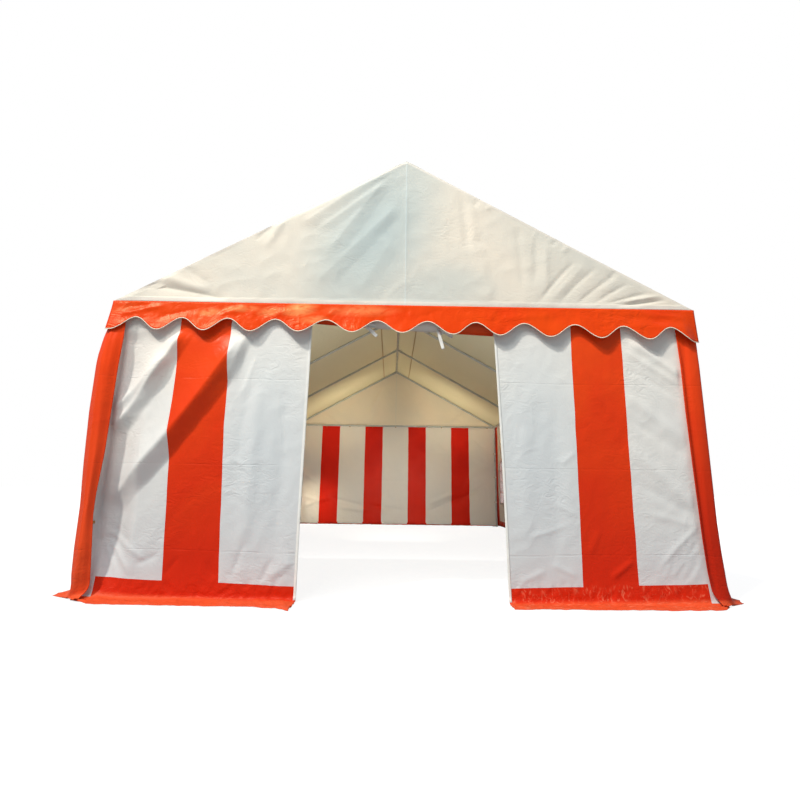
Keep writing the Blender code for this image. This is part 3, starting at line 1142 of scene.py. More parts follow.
GABLE_FRONT_FOLDS = (
    *Fold.rows(FoldKind.CREASE, (-1.21, 1.925, -1.9, 2.035, -0.016, 0.03, 1.6, 3.0, -0.012),
        (-1.36, 2.04, -1.56, 2.17, -0.007, 0.025), (-1.07, 2.36, -0.93, 2.53, -0.009, 0.022),
        (0.92, 1.925, 1.22, 2.27, -0.0095, 0.012, 1.1, 3.0, 0.015),
        (1.06, 1.925, 1.36, 2.22, -0.0078, 0.012, 1.1, 3.0, 0.012),
        (1.19, 1.93, 1.5, 2.17, -0.0078, 0.011, 1.1, 3.0, 0.01),
        (1.3, 1.93, 1.58, 2.1, -0.007, 0.01, 1.1, 3.0, 0.008),
        (1.38, 1.935, 1.72, 2.03, -0.0074, 0.01, 1.0, 3.0, 0.006),
        (1.44, 1.928, 1.84, 1.985, -0.011, 0.01, 1.0, 3.0, -0.008),
        (0.49, 2.66, 0.53, 2.74, -0.008, 0.011), (0.57, 2.63, 0.63, 2.69, 0.006, 0.011),
        (1.03, 2.36, 1.09, 2.43, -0.008, 0.011), (1.1, 2.31, 1.17, 2.38, 0.006, 0.012),
        (1.42, 2.12, 1.49, 2.19, -0.007, 0.011), (0.0, 1.91, 0.0, 2.97, 0.003, 0.012)),
    *Fold.rows(FoldKind.ROLL, (-1.34, 1.97, -1.72, 2.1, 0.01, 0.035),
        (-1.0, 2.3, -0.86, 2.56, 0.007, 0.028), (0.44, 2.3, 0.4, 2.8, -0.004, 0.028),
        (0.5, 2.25, 0.47, 2.72, 0.0035, 0.028), (0.82, 2.0, 0.8, 2.55, -0.0045, 0.028),
        (0.91, 2.05, 0.93, 2.46, -0.0045, 0.024), (0.98, 2.0, 1.0, 2.4, 0.005, 0.024),
        (1.0, 1.94, 1.28, 2.25, 0.004, 0.02), (1.5, 1.955, 1.8, 2.01, 0.007, 0.012)),
    *Fold.rows(FoldKind.FLANK, (-0.75, 2.44, -0.08, 2.97, 0.012, 0.045, 0.5, 2.0),
        (-0.62, 2.42, -0.12, 2.84, 0.008, 0.035, 0.6, 2.0),
        (-0.55, 2.2, -0.12, 2.86, 0.012, 0.055, 0.6, 2.0),
        (-0.62, 1.98, -0.02, 2.66, 0.011, 0.06, 0.6, 2.2),
        (-0.3, 1.95, -0.05, 2.4, 0.006, 0.05, 0.7), (0.62, 1.93, 0.54, 2.4, 0.006, 0.03, 1.2)),
)
GABLE_REAR_FOLDS = (
    *Fold.rows(FoldKind.FLANK, (-0.55, 1.95, -0.15, 2.85, 0.012, 0.06, 0.6)),
    *Fold.rows(FoldKind.ROLL, (0.62, 1.95, 0.2, 2.8, -0.012, 0.05, 0.7)),
    *Fold.rows(FoldKind.CREASE, (-0.95, 1.92, -1.4, 2.2, -0.014, 0.04, 1.3),
        (1.05, 1.92, 1.5, 2.14, -0.016, 0.04, 1.3), (1.3, 1.92, 1.76, 2.0, -0.012, 0.03, 1.2),
        (0.0, 1.91, 0.0, 2.97, 0.003, 0.012)),
)


@dataclass
class GableSheet:
    """One three-cornered end sheet, hemmed where it meets the valance."""

    sizes: TentSizes
    end: End
    folds: tuple[Fold, ...]
    roof_drop: float = 0.0017
    top_round: float = 0.0001
    hem_height: float = 0.035
    hem_step: float = 0.0028
    hem_edge: float = 0.004
    pole_room: float = 0.005
    middle_room: float = 0.06

    def top(self, across: Array) -> Array:
        """Gives the height of the sheet's upper edge."""
        rounded = np.sqrt(across ** 2 + self.top_round)
        return self.sizes.ridge - self.roof_drop - self.sizes.slope * rounded

    def height(self, across: Array, along: Array) -> Array:
        """Gives the height of each place, from its share of the way up the sheet."""
        return self.sizes.gable_foot + along * (self.top(across) - self.sizes.gable_foot)

    def place(self, across: Array, along: Array, above: Array) -> Array:
        """Lays the sheet in the gable, pinned along its edges.

        Args:
            across: Places across the cloth.
            along: Their share of the way up it.
            above: How far above its face they are.

        Returns:
            The points in the tent.
        """
        sizes = self.sizes
        relief = Relief(self.folds, (Ripple(0.55, 0.007, 1.0 + self.end.value, 1.6),
                                     Ripple(0.13, 0.0022, 5.0, 1.2, 0.6, True)))
        height = self.height(across, along)
        slope_gap = (self.top(across) - height) / math.hypot(1.0, sizes.slope)
        foot_gap = height - sizes.eave
        pinned = ease(foot_gap, 0.0, 0.04) * ease(slope_gap, -0.0045, 0.0255)
        inner = ease(np.minimum(foot_gap - 0.01, slope_gap - 0.05), 0.0, 0.08)
        room = self.pole_room * ease(foot_gap, 0.0, 0.02) + self.middle_room * inner
        out = relief.height(across * -self.end.value, height) * pinned
        out = np.clip(out, -room, self.middle_room) + above
        hem_top = sizes.eave + self.hem_height
        hem = ease(height, hem_top, hem_top - self.hem_edge)
        out = out + hem * ease(foot_gap, 0.0, self.hem_edge) * self.hem_step
        return np.column_stack((across, self.end.value * (sizes.half_length + out), height))

    def build(self, finish: Material) -> Piece:
        """Builds the sheet.

        Args:
            finish: The sheet's material.

        Returns:
            The piece.
        """
        sizes = self.sizes
        half = sizes.half_width - LAP_GAP
        height = sizes.ridge - sizes.gable_foot
        cut = FlatCut(f"gable_sheet_{self.end.word}")
        cut.add_grid(spread_places((-half, 0.0, half), CELL_GABLE),
                     np.linspace(0.0, 1.0, round(height / CELL_GABLE) + 1))
        sheet = cut.lay(self.place, finish, (0.0, float(self.end.value), 0.0),
                        pattern=lambda across, along: (across, self.height(across, along)))
        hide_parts(f"gable_{self.end.word}")
        return sheet


FRONT_LOWS = (-1.975, -1.668, -1.357, -1.046, -0.718, -0.355, -0.02, 0.325, 0.64, 0.988, 1.328,
              1.653, 1.965)
VALANCE_FRONT_FOLDS = (
    *Fold.rows(FoldKind.CREASE, (-1.98, 1.84, -1.72, 1.9, -0.006, 0.012),
        (-1.7, 1.78, -1.4, 1.86, -0.006, 0.02), (-1.05, 1.79, -0.84, 1.85, -0.005, 0.018),
        (-0.6, 1.77, -0.42, 1.9, 0.006, 0.02), (0.05, 1.8, 0.3, 1.89, -0.004, 0.02),
        (1.35, 1.86, 1.98, 1.8, -0.006, 0.018)),
    *Fold.rows(FoldKind.ROLL, (-1.95, 1.8, -1.6, 1.89, 0.007, 0.016),
        (-1.3, 1.8, -1.05, 1.89, 0.007, 0.02), (-0.45, 1.82, -0.1, 1.86, 0.005, 0.02),
        (0.6, 1.81, 1.1, 1.86, 0.004, 0.025), (1.55, 1.88, 1.98, 1.84, 0.005, 0.014),
        (1.45, 1.78, 1.97, 1.76, 0.005, 0.02)),
    *Fold.rows(FoldKind.FLANK, (-0.92, 1.8, -0.55, 1.88, 0.01, 0.022)),
)


@dataclass
class Valance:
    """A scalloped strip that hangs along an eave, with a cream piping on its wavy edge."""

    sizes: TentSizes
    name: str
    half: float
    face: float
    along_y: bool
    sign: int
    cell: float
    seed: float
    lows: tuple[float, ...] = ()
    folds: tuple[Fold, ...] = ()
    end_droop: float = 0.0
    droop_power: float = 2.0
    pitch: float = 1 / 3
    shortest: float = 0.11
    extra_drop: float = 0.0
    billow: float = 0.046
    hang_power: float = 1.2
    rows: int = 15
    end_billows: tuple[float, float] = (0.015, 0.015)
    next_billows: tuple[float, float] = (0.015, 0.015)
    corner: float = 0.10
    piping_radius: float = 0.0034
    piping_sides: int = 6

    @property
    def longest(self) -> float:
        """How far down the lowest scallops of the solid reach."""
        return self.sizes.eave - self.sizes.valance_low

    def depth(self, across: Array) -> Array:
        """Gives how far down the wavy edge is.

        Args:
            across: Places along the eave.

        Returns:
            The depth at each.
        """
        lows = self.lows or tuple(-self.half + self.pitch * step
                                  for step in range(round(2 * self.half / self.pitch) + 1))
        phase = np.interp(across, lows, range(len(lows)))
        middle, swing = (self.longest + self.shortest) / 2, (self.longest - self.shortest) / 2
        to_end = np.clip(math.copysign(1.0, self.end_droop) * across / self.half, 0.0, 1.0)
        drooped = abs(self.end_droop) * to_end ** self.droop_power
        return middle + swing * np.cos(math.tau * phase) + drooped + self.extra_drop

    def point(self, across: Array, height: Array, out: Array) -> Array:
        """Gives points in the tent.

        Args:
            across: Places along the eave.
            height: Their heights.
            out: How far they stand out.

        Returns:
            The points.
        """
        far = self.sign * (self.face + out)
        lap = np.where(across < 0, *self.next_billows) * self._hanging(height) + LAP_GAP
        across = across + np.sign(across) * lap * self._at_end(across)
        return np.column_stack((far, across, height) if self.along_y else (across, far, height))

    def _hanging(self, height: Array) -> Array:
        """Gives the share of its billow that the strip has at each height."""
        drop = (self.sizes.eave - height) / self.longest
        return np.clip(drop, 0.0, 1.2) ** self.hang_power

    def _at_end(self, across: Array) -> Array:
        """Gives 1 at the strip's ends, and 0 away from them."""
        return ease(np.abs(across), self.half - self.corner, self.half)

    def standing_out(self, across: Array, height: Array) -> Array:
        """Gives how far the strip stands out from the wall.

        Args:
            across: Places along the eave.
            height: Their heights.

        Returns:
            The distance out at each place.
        """
        drop = self._hanging(height)
        wave = Ripple(0.21, 0.35, self.seed, 3.0).height(across, height)
        wide = Ripple(0.75, 0.25, self.seed + 9).height(across, height)
        fine = Relief(ripples=(Ripple(0.06, 0.003, self.seed + 4, 2.0, 0.8),
                               Ripple(0.035, 0.0022, self.seed + 2, 2.2, 0.25, True)))
        folds = Relief(self.folds).height(across, height) * ease(drop, 0.0, 1 / 6)
        hang = self.billow * drop * (1.0 + wave + wide)
        out = hang + fine.height(across, height) * ease(drop, 0.0, 1 / 4) + folds
        at_end = self._at_end(across)
        pulled = np.where(across < 0, *self.end_billows)
        return np.maximum(out, 0.0) * (1 - at_end) + pulled * drop * at_end

    def place(self, across: Array, along: Array, above: Array) -> Array:
        """Hangs the strip from the eave.

        Args:
            across: Places along the eave.
            along: Their share of the way down the strip.
            above: How far above its face they are.

        Returns:
            The points in the tent.
        """
        height = self.sizes.eave - along * self.depth(across)
        return self.point(across, height, self.standing_out(across, height) + above)

    def build(self, finish: Material, piping: Material) -> list:
        """Builds the strip and its piping.

        Args:
            finish: The strip's material.
            piping: The material of the sewn edge.

        Returns:
            The two pieces.
        """
        eave = self.sizes.eave
        outward = (float(self.sign), 0.0, 0.0) if self.along_y else (0.0, float(self.sign), 0.0)
        columns = spread_places((-self.half, self.half), self.cell)
        cut = FlatCut(f"{self.name}_sheet")
        cut.add_grid(columns, np.linspace(0.0, 1.0, self.rows))
        sheet = cut.lay(self.place, finish, outward,
                        pattern=lambda across, along: (across, eave - along * self.depth(across)))
        edge = self._piping(columns, piping)
        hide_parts(self.name)
        area = 2 * self.half * float(self.depth(columns).mean())
        return [sheet, edge]

    def _piping(self, columns: Array, material: Material) -> Piece:
        """Builds the round cord sewn along the wavy edge.

        Args:
            columns: The strip's lines across.
            material: The cord's material.

        Returns:
            The piece.
        """
        radius = self.piping_radius
        flatness = 0.8

        def place(across: Array, around: Array, above: Array) -> Array:
            """Runs the cord along the edge.

            Args:
                across: Places along the eave.
                around: Angles round the cord.
                above: Unused, as the cord has no thickness of its own.

            Returns:
                The points in the tent.
            """
            bottom = self.sizes.eave - self.depth(across)
            middle = self.standing_out(across, bottom) - SHEET_THICKNESS / 2
            out = middle + radius * flatness * np.cos(around)
            return self.point(across, bottom + radius * np.sin(around), out)

        cut = FlatCut(f"{self.name}_piping")
        cut.add_grid(columns, np.linspace(0.0, math.tau, self.piping_sides + 1))
        piece = cut.lay(place, material, thickness=0.0,
                        pattern=lambda across, around: (across, around * radius))
        self._close_tube(piece)
        return piece

    @staticmethod
    def _close_tube(piece: Piece) -> None:
        """Joins a tube's long seam, caps its ends and turns its faces outwards.

        Args:
            piece: The tube.
        """
        seam_reach = 0.0002
        tube = bmesh.new()
        tube.from_mesh(piece.data)
        bmesh.ops.remove_doubles(tube, verts=tube.verts, dist=seam_reach)
        rims = [edge for edge in tube.edges if edge.is_boundary]
        bmesh.ops.holes_fill(tube, edges=rims, sides=0)
        bmesh.ops.recalc_face_normals(tube, faces=tube.faces)
        tube.to_mesh(piece.data)
        tube.free()


FRONT_LEFT_FOLDS = (
    *Fold.rows(FoldKind.FLANK, (-1.92, 1.12, -1.56, 1.52, 0.034, 0.031, 0.9, 1.3, -0.01),
        (-1.9, 0.98, -1.47, 1.72, 0.056, 0.05, 0.6, 1.3, -0.04),
        (-1.88, 0.5, -1.05, 1.69, 0.068, 0.062, 0.72, 2.4, -0.052),
        (-1.15, 1.34, -1.02, 1.8, 0.02, 0.03, 0.8, 1.6), (-0.82, 0.12, -0.66, 0.22, 0.008, 0.02)),
    *Fold.rows(FoldKind.ROLL, (-1.93, 0.43, -1.56, 0.22, 0.006, 0.015),
        (-1.93, 0.42, -1.66, 0.14, 0.006, 0.015), (-1.925, 0.4, -1.76, 0.13, 0.005, 0.012),
        (-1.53, 1.5, -1.43, 1.72, 0.007, 0.01), (-1.36, 1.2, -1.18, 1.47, 0.006, 0.008),
        (-1.3, 1.18, -1.16, 1.4, 0.005, 0.008), (-1.0, 0.15, -0.96, 1.5, 0.009, 0.045),
        (-0.8, 0.12, -0.77, 1.45, -0.007, 0.05), (-1.1, 0.55, -1.04, 1.3, -0.004, 0.03),
        (-1.08, 1.24, -0.99, 1.56, 0.005, 0.015)),
    *Fold.rows(FoldKind.CREASE, (-1.66, 0.2, -1.5, 0.27, -0.007, 0.014),
        (-1.06, 0.12, -0.98, 0.36, -0.008, 0.016), (-0.88, 0.1, -0.8, 0.26, -0.007, 0.018),
        (-1.12, 0.86, -1.02, 0.81, 0.005, 0.01), (-1.47, 0.14, -1.38, 0.26, -0.006, 0.014),
        (-1.22, 0.24, -1.15, 0.12, -0.006, 0.014)),
)
FRONT_RIGHT_FOLDS = (
    *Fold.rows(FoldKind.FLANK, (1.95, 1.395, 1.53, 1.71, 0.016, 0.022, 1.0, 1.5)),
    *Fold.rows(FoldKind.ROLL, (1.9, 1.34, 1.46, 1.63, 0.007, 0.02),
        (1.9, 1.26, 1.48, 1.5, -0.004, 0.022), (1.91, 0.96, 1.44, 1.34, 0.008, 0.04, 0.9),
        (1.9, 0.88, 1.46, 1.16, -0.004, 0.03), (1.92, 0.54, 1.44, 1.0, 0.008, 0.036, 1.3),
        (1.92, 0.5, 1.47, 0.76, -0.005, 0.026, 1.3), (1.92, 0.46, 1.5, 0.56, 0.004, 0.022),
        (1.29, 0.15, 1.45, 0.27, 0.01, 0.016), (1.14, 1.52, 1.34, 1.2, 0.005, 0.022),
        (1.25, 0.45, 1.16, 0.28, 0.005, 0.02), (0.96, 0.14, 1.0, 1.3, -0.006, 0.06),
        (0.78, 0.14, 0.8, 1.5, 0.006, 0.06)),
    *Fold.rows(FoldKind.CREASE, (1.92, 0.51, 1.57, 0.18, 0.008, 0.012, 1.5, 3.0, -0.012),
        (1.9, 0.44, 1.7, 0.15, -0.005, 0.01, 1.5), (1.88, 0.36, 1.64, 0.14, 0.004, 0.009, 1.5),
        (1.91, 0.34, 1.8, 0.14, 0.004, 0.009, 1.5), (1.86, 0.26, 1.74, 0.13, -0.004, 0.009, 1.5),
        (1.62, 0.14, 1.68, 0.26, 0.004, 0.01), (0.76, 0.38, 1.06, 0.47, 0.005, 0.01),
        (0.98, 0.6, 1.11, 0.52, 0.005, 0.012), (1.02, 0.84, 1.12, 0.93, 0.005, 0.012),
        (0.7, 0.12, 0.9, 0.2, 0.006, 0.016), (0.92, 0.24, 1.1, 0.16, 0.006, 0.016)),
)
FRONT_STRIPE = 1.31
STRIP_EDGES = {
    Side.LEFT: ((-0.2, 0.0, 0.08, 0.32, 0.50, 0.61, 0.89, 1.44, 1.62, 1.9),
                (1.93, 1.93, 1.905, 1.925, 1.942, 1.942, 1.922, 1.91, 1.90, 1.90)),
    Side.RIGHT: ((-0.2, 0.02, 0.09, 0.21, 0.40, 0.76, 1.2, 1.50, 1.74, 1.9),
                 (1.948, 1.945, 1.915, 1.90, 1.89, 1.88, 1.87, 1.87, 1.86, 1.86)),
}


@dataclass
class FrontWall:
    """One front panel beside the doorway, folded outwards on the ground."""

    sizes: TentSizes
    side: Side
    folds: tuple[Fold, ...]
    stripe_shift: Curve
    flap_reach: Curve
    door_line: Curve
    recess: Curve = ((0.0, 1.9), (0.0, 0.0))
    tuck_beyond: float = -0.008
    hem_tilt: float = 0.032
    door_pull: float = 0.25
    most_out: float = 0.075
    crushed: Ripple = Ripple(0.05, 0.007, 9.0, 1.5, 0.3, True)
    ragged: Ripple = Ripple(0.11, 0.02, 21.0)
    flap: GroundFlap = GroundFlap(Relief(ripples=(
        Ripple(0.16, 1.0, 14.0, 0.7), Ripple(0.06, 0.6, 17.0, 0.7, 0.4, True))))

    def out_at(self, across: Array, along: Array) -> Array:
        """Gives how far the panel stands out at each place above the ground.

        Args:
            across: Places across the cloth.
            along: Places along it.

        Returns:
            The distance out at each.
        """
        distance, door = np.abs(across), self.sizes.door_half
        relief = Relief(self.folds, (Ripple(0.42, 0.006, 2.0 * self.side.value, 1.8),
                                     Ripple(0.12, 0.0016, 6.0, 1.3, 0.5, True)))
        out = relief.height(across, along)
        out = out + self.crushed.height(across, along) * ease(along, 0.15, 0.07)
        out = out - np.interp(along, *self.recess) * ease(distance, 1.67, 1.82)
        tuck = np.interp(along, *STRIP_EDGES[self.side]) + self.tuck_beyond
        pinned = ease(distance, tuck, tuck - 0.032) * ease(along, -0.02, 0.03)
        pinned = pinned * (0.12 + 0.88 * ease(along, 1.72, 1.62))
        pinned = pinned * (0.35 + 0.65 * ease(distance, door, door + 0.06))
        room = 0.004 + 0.09 * ease(along, 1.84, 1.78)
        return np.clip(out * pinned, -room, self.most_out)

    def place(self, across: Array, along: Array, above: Array) -> Array:
        """Hangs the panel and lays its flap on the ground.

        Args:
            across: Places across the cloth.
            along: Heights on it, below 0 on the flap.
            above: How far above its face they are.

        Returns:
            The points in the tent.
        """
        distance, door = np.abs(across), self.sizes.door_half
        reach = np.interp(distance, *self.flap_reach) / self.flap.length
        out, height = self.flap.lay(across, along, self.flap.bend)
        out = out * np.where(along < 0, reach, 1.0) + self.out_at(across, along) + above
        out = out + self.ragged.height(across, along * 0.0) * ease(along, 0.0, -self.flap.length)
        moved = np.interp(along, *self.door_line) - door
        across = across + self.side.value * moved * ease(distance, door + self.door_pull, door)
        return np.column_stack((across, -(END_WALL_FACE + out), height))

    def pattern(self, across: Array, along: Array) -> tuple[Array, Array]:
        """Skews the stripes and the hem as the sewn ones are."""
        tilt = self.hem_tilt * (np.abs(across) - FRONT_STRIPE) * ease(along, 0.4, 0.2)
        return across - self.side.value * np.interp(along, *self.stripe_shift), along - tilt

    def build(self, finish: Material, tape: Material) -> list:
        """Builds the panel and the tape along its door edge.

        Args:
            finish: The panel's material.
            tape: The material of the tape.

        Returns:
            The two pieces.
        """
        sizes, sign = self.sizes, self.side.value
        ends = sorted((sign * sizes.door_half, sign * (sizes.half_width - LAP_GAP)))
        cut = FlatCut(f"front_sheet_{self.side.word}")
        cut.add_grid(spread_places(tuple(ends), CELL_FRONT),
                     spread_places((-self.flap.length, 0.0, sizes.end_wall_top), CELL_FRONT))
        sheet = cut.lay(self.place, finish, (0.0, -1.0, 0.0), pattern=self.pattern)
        edge = self._door_tape(tape)
        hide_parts(f"front_wall_{self.side.word}")
        return [sheet, edge]

    def _door_tape(self, material: Material) -> Piece:
        """Builds the sewn tape that binds the door edge.

        Args:
            material: The tape's material.

        Returns:
            The piece.
        """
        start = self.side.value * self.sizes.door_half
        low, high = sorted((start - self.side.value * 0.001, start + self.side.value * 0.016))
        cut = FlatCut(f"door_edge_tape_{self.side.word}")
        cut.add_strip((low, 0.01), (high, self.sizes.end_wall_top - 0.002), TAPE_THICKNESS,
                      (0.006, 0.02))
        piece = cut.lay(self.place, material, (0.0, -1.0, 0.0), TAPE_THICKNESS, 0.0)
        return piece


REAR_FOLDS = (
    *Fold.rows(FoldKind.ROLL, (-1.8, 0.95, -1.45, 0.75, 0.012, 0.03),
        (-1.1, 0.32, -0.45, 0.26, 0.024, 0.028), (-0.1, 1.1, -0.25, 1.5, 0.008, 0.03),
        (0.62, 0.38, 1.2, 0.62, 0.026, 0.036, 1.2), (1.3, 0.7, 1.85, 1.1, 0.012, 0.05)),
    *Fold.rows(FoldKind.CREASE, (-1.85, 0.55, -1.4, 0.42, 0.022, 0.03),
        (-1.25, 0.5, -0.55, 0.34, -0.032, 0.032), (-0.52, 0.36, 0.2, 0.28, -0.03, 0.028),
        (-0.45, 0.84, 0.35, 0.82, -0.006, 0.012), (0.55, 0.22, 1.35, 0.56, -0.036, 0.036, 1.3),
        (1.1, 0.4, 1.85, 0.8, -0.032, 0.04, 1.3), (1.45, 1.75, 1.8, 1.45, -0.012, 0.035, 1.2),
        (-1.55, 1.72, -1.85, 1.45, -0.01, 0.035, 1.2), (0.62, 1.38, 1.12, 1.37, -0.005, 0.01),
        (-1.85, 1.38, 0.3, 1.38, -0.003, 0.01)),
    *Fold.rows(FoldKind.FLANK, (-1.8, 0.3, -1.2, 0.48, 0.02, 0.03)),
)


@dataclass
class RearWall:
    """The rear end wall, whole across, folded outwards on the ground."""

    sizes: TentSizes
    most_out: float = 0.05
    relief: Relief = Relief(REAR_FOLDS, (Ripple(0.5, 0.016, 31.0, 1.6),
                                         Ripple(0.12, 0.0025, 33.0, 1.3, 0.5, True)))
    flap: GroundFlap = GroundFlap(Relief(ripples=(
        Ripple(0.15, 1.0, 44.0), Ripple(0.06, 0.5, 47.0, 1.0, 0.4, True))), lump_rise=0.018)

    def place(self, across: Array, along: Array, above: Array) -> Array:
        """Hangs the wall and lays its flap on the ground.

        Args:
            across: Places across the cloth.
            along: Heights on it, below 0 on the flap.
            above: How far above its face they are.

        Returns:
            The points in the tent.
        """
        pinned = ease(np.abs(across), 1.87, 1.81) * ease(along, -0.02, 0.04)
        pinned = pinned * (0.1 + 0.9 * ease(along, 1.74, 1.62))
        room = 0.004 + 0.03 * ease(along, 1.84, 1.78)
        stood = np.clip(-self.relief.height(across, along) * pinned, -room, self.most_out)
        out, height = self.flap.lay(across, along, self.flap.bend)
        return np.column_stack((across, END_WALL_FACE + out + stood + above, height))

    def build(self, finish: Material) -> Piece:
        """Builds the wall.

        Args:
            finish: The wall's material.

        Returns:
            The piece.
        """
        sizes = self.sizes
        half = sizes.half_width - LAP_GAP
        cut = FlatCut("rear_sheet")
        cut.add_grid(spread_places((-half, half), CELL_REAR),
                     spread_places((-self.flap.length, 0.0, sizes.end_wall_top), CELL_REAR))
        sheet = cut.lay(self.place, finish, (0.0, 1.0, 0.0))
        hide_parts("rear_wall")
        return sheet


def bell(values: Array, middle: Array | float, width: float) -> Array:
    """Gives 1 at the middle, falling off softly each way."""
    return np.exp(-((values - middle) / width) ** 2)


@dataclass
class SideWall:
    """One long wall that wraps round both corners, with its windows, bars and ground flap."""

    sizes: TentSizes
    side: Side
    strip_edge: Curve
    bulge: Curve
    crest: Curve
    edge_lift: Curve
    dip: float = 0.0
    slack: float = 1.0
    foot_tuck: float = 0.12
    corner_radius: float = 0.02
    corner_bend: float = 0.12
    corner_reach: float = 0.75
    strip: float = 0.14
    most_out: float = 0.04
    flap: GroundFlap = GroundFlap(Relief(ripples=(
        Ripple(0.2, 1.0, 64.0), Ripple(0.07, 0.5, 67.0, 1.0, 0.4, True))), 0.16, 0.05, 0.003,
        lumps_fade=0.06, edge_reach=0.03, edge_fade=0.08)
    window_count: int = 8
    window_pitch: float = 1.0
    window_half: float = 0.14
    window_sill: float = 0.44
    window_spring: float = 1.06
    pane_lap: float = 0.02
    pane_depth: float = -0.0025
    pane_thickness: float = 0.0006
    bar_heights: tuple[float, ...] = (0.635, 0.83, 1.025)
    frame_tape: float = 0.022
    bar_tape: float = 0.014

    @property
    def straight(self) -> float:
        """How far the wall runs straight, each way from the middle."""
        return self.sizes.half_length - self.corner_radius

    @property
    def bend_end(self) -> float:
        """Where the wall has gone round the corner, each way from the middle."""
        return self.straight + QUARTER_TURN * self.corner_radius

    @property
    def cloth_end(self) -> float:
        """The cloth's edge, each way from the middle, measured along it."""
        return self.bend_end + self.strip - self.corner_radius

    @property
    def window_middles(self) -> tuple[float, ...]:
        """The windows' middles along the wall."""
        first = -self.window_pitch * (self.window_count - 1) / 2
        return tuple(first + self.window_pitch * number for number in range(self.window_count))

    def foot_bend(self, across: Array) -> Array:
        """Gives how wide the wall's foot bends, which is wider at the front corner."""
        near = ease(-across, self.straight - 0.35, self.straight - 0.05)
        return self.flap.bend + (self.corner_bend - self.flap.bend) * near

    def out_at(self, across: Array, along: Array) -> Array:
        """Gives how far the wall stands out at each place above the ground.

        Args:
            across: Places across the cloth.
            along: Places along it.

        Returns:
            The distance out at each.
        """
        distance = np.abs(across)
        bay = np.where(distance > self.sizes.half_length, 0.3,
                       0.2 + 0.8 * self.sizes.between_frames(across))
        relief = Relief(ripples=(Ripple(0.55, 0.020, 51.0 + self.side.value, 2.6),
                                 Ripple(0.2, 0.007, 55.0 + self.side.value, 3.2, 0.15),
                                 Ripple(0.11, 0.0022, 58.0, 1.4, 0.5, True)))
        out = (relief.height(across, along) + 0.004) * bay
        pinned = ease(along, 1.80, 1.58) * ease(along, -0.02, 0.08)
        inward = 0.004 * ease(distance, self.straight, self.straight - 0.05)
        return np.clip(out * pinned, -inward, self.most_out)

    def place(self, across: Array, along: Array, above: Array) -> Array:
        """Hangs the wall round the corners and lays its flap on the ground.

        Args:
            across: Places along the tent, and round its corners beyond them.
            along: Heights on the cloth, below 0 on the flap.
            above: How far above its face they are.

        Returns:
            The points in the tent.
        """
        radius, end = self.corner_radius, np.sign(across)
        past = np.abs(across) - self.straight
        share = self._strip_share(past)
        angle = np.clip(past / radius, 0.0, QUARTER_TURN)
        facing, around = np.cos(angle), np.sin(angle)
        edge = np.interp(along, *self.strip_edge) - 0.47 * self._lifted(across, along)
        beyond = share * (self.sizes.half_width - radius - edge)
        base_x = self.sizes.half_width - radius + radius * facing - beyond
        base_y = np.clip(across, -self.straight, self.straight) + radius * end * around
        out, height = self.flap.lay(across, along, self.foot_bend(across))
        near = ease(past, -0.25, 0.0)
        out = out * (1 - self.foot_tuck * near) * (1 - 0.40 * around - 0.15 * share)
        flare_x = 1 - 0.25 * around - 0.45 * share
        flare_y = end * (around * (1.30 * share - 0.35) - 0.58 * near * (1 - around))
        height = height + 0.012 * ease(share, 0.0, 0.3) * ease(along, 0.06, -0.02)
        stood = self.out_at(across, along) + self._corner_folds(across, along) + above
        bulge = np.interp(along, *self.bulge) * self._near_corner(across) * (1 - share)
        x = base_x + flare_x * out + facing * stood + bulge
        y = base_y + flare_y * out + end * around * stood
        return np.column_stack((self.side.value * x, y, height))

    def _strip_share(self, past: Array) -> Array:
        """Gives how far over the corner strip each place is, by its distance past the corner."""
        on_strip = np.maximum(past - QUARTER_TURN * self.corner_radius, 0.0)
        return on_strip / (self.strip - self.corner_radius)

    def _near_corner(self, across: Array) -> Array:
        """Gives 1 at the front corner, 0.4 at the rear one, and 0 between them."""
        ends = self.straight - self.corner_reach, self.straight
        return ease(-across, *ends) + 0.4 * ease(across, *ends)

    def _lifted(self, across: Array, along: Array) -> Array:
        """Gives how far the strip's free edge stands off the end wall."""
        return np.where(across < 0, np.interp(along, *self.edge_lift), 0.002)

    def _corner_folds(self, across: Array, along: Array) -> Array:
        """Gives the upright folds in the strip that is wrapped round each corner.

        Args:
            across: Places along the tent, and round its corners beyond them.
            along: Heights on the cloth.

        Returns:
            How far each place stands out.
        """
        past = np.abs(across) - self.straight
        share = self._strip_share(past)
        at_edge = ease(share, 0.52, 1.0)
        dipped = self.dip * bell(share, 0.70, 0.16) * ease(along, 0.05, 0.20)
        crest = np.where(across < 0, np.interp(along, *self.crest), 0.010)
        crest = crest * (1 - at_edge) + self._lifted(across, along) * at_edge - dipped
        crest = np.maximum(crest, 0.0) * ease(past, -0.02, 0.05)
        near = ease(past, -0.30, -0.18) * ease(along, 1.86, 1.66) * ease(along, 0.03, 0.23)
        wander = 0.02 * np.sin(along * 3.1 + self.side.value)
        first = 0.005 * bell(past, 0.075 + wander, 0.016) * (1 - at_edge)
        second = 0.010 * bell(past, wander - 0.05, 0.035)
        third = 0.010 * bell(past, -0.16 - wander, 0.035)
        return near * self.slack * (first + second + third) + crest

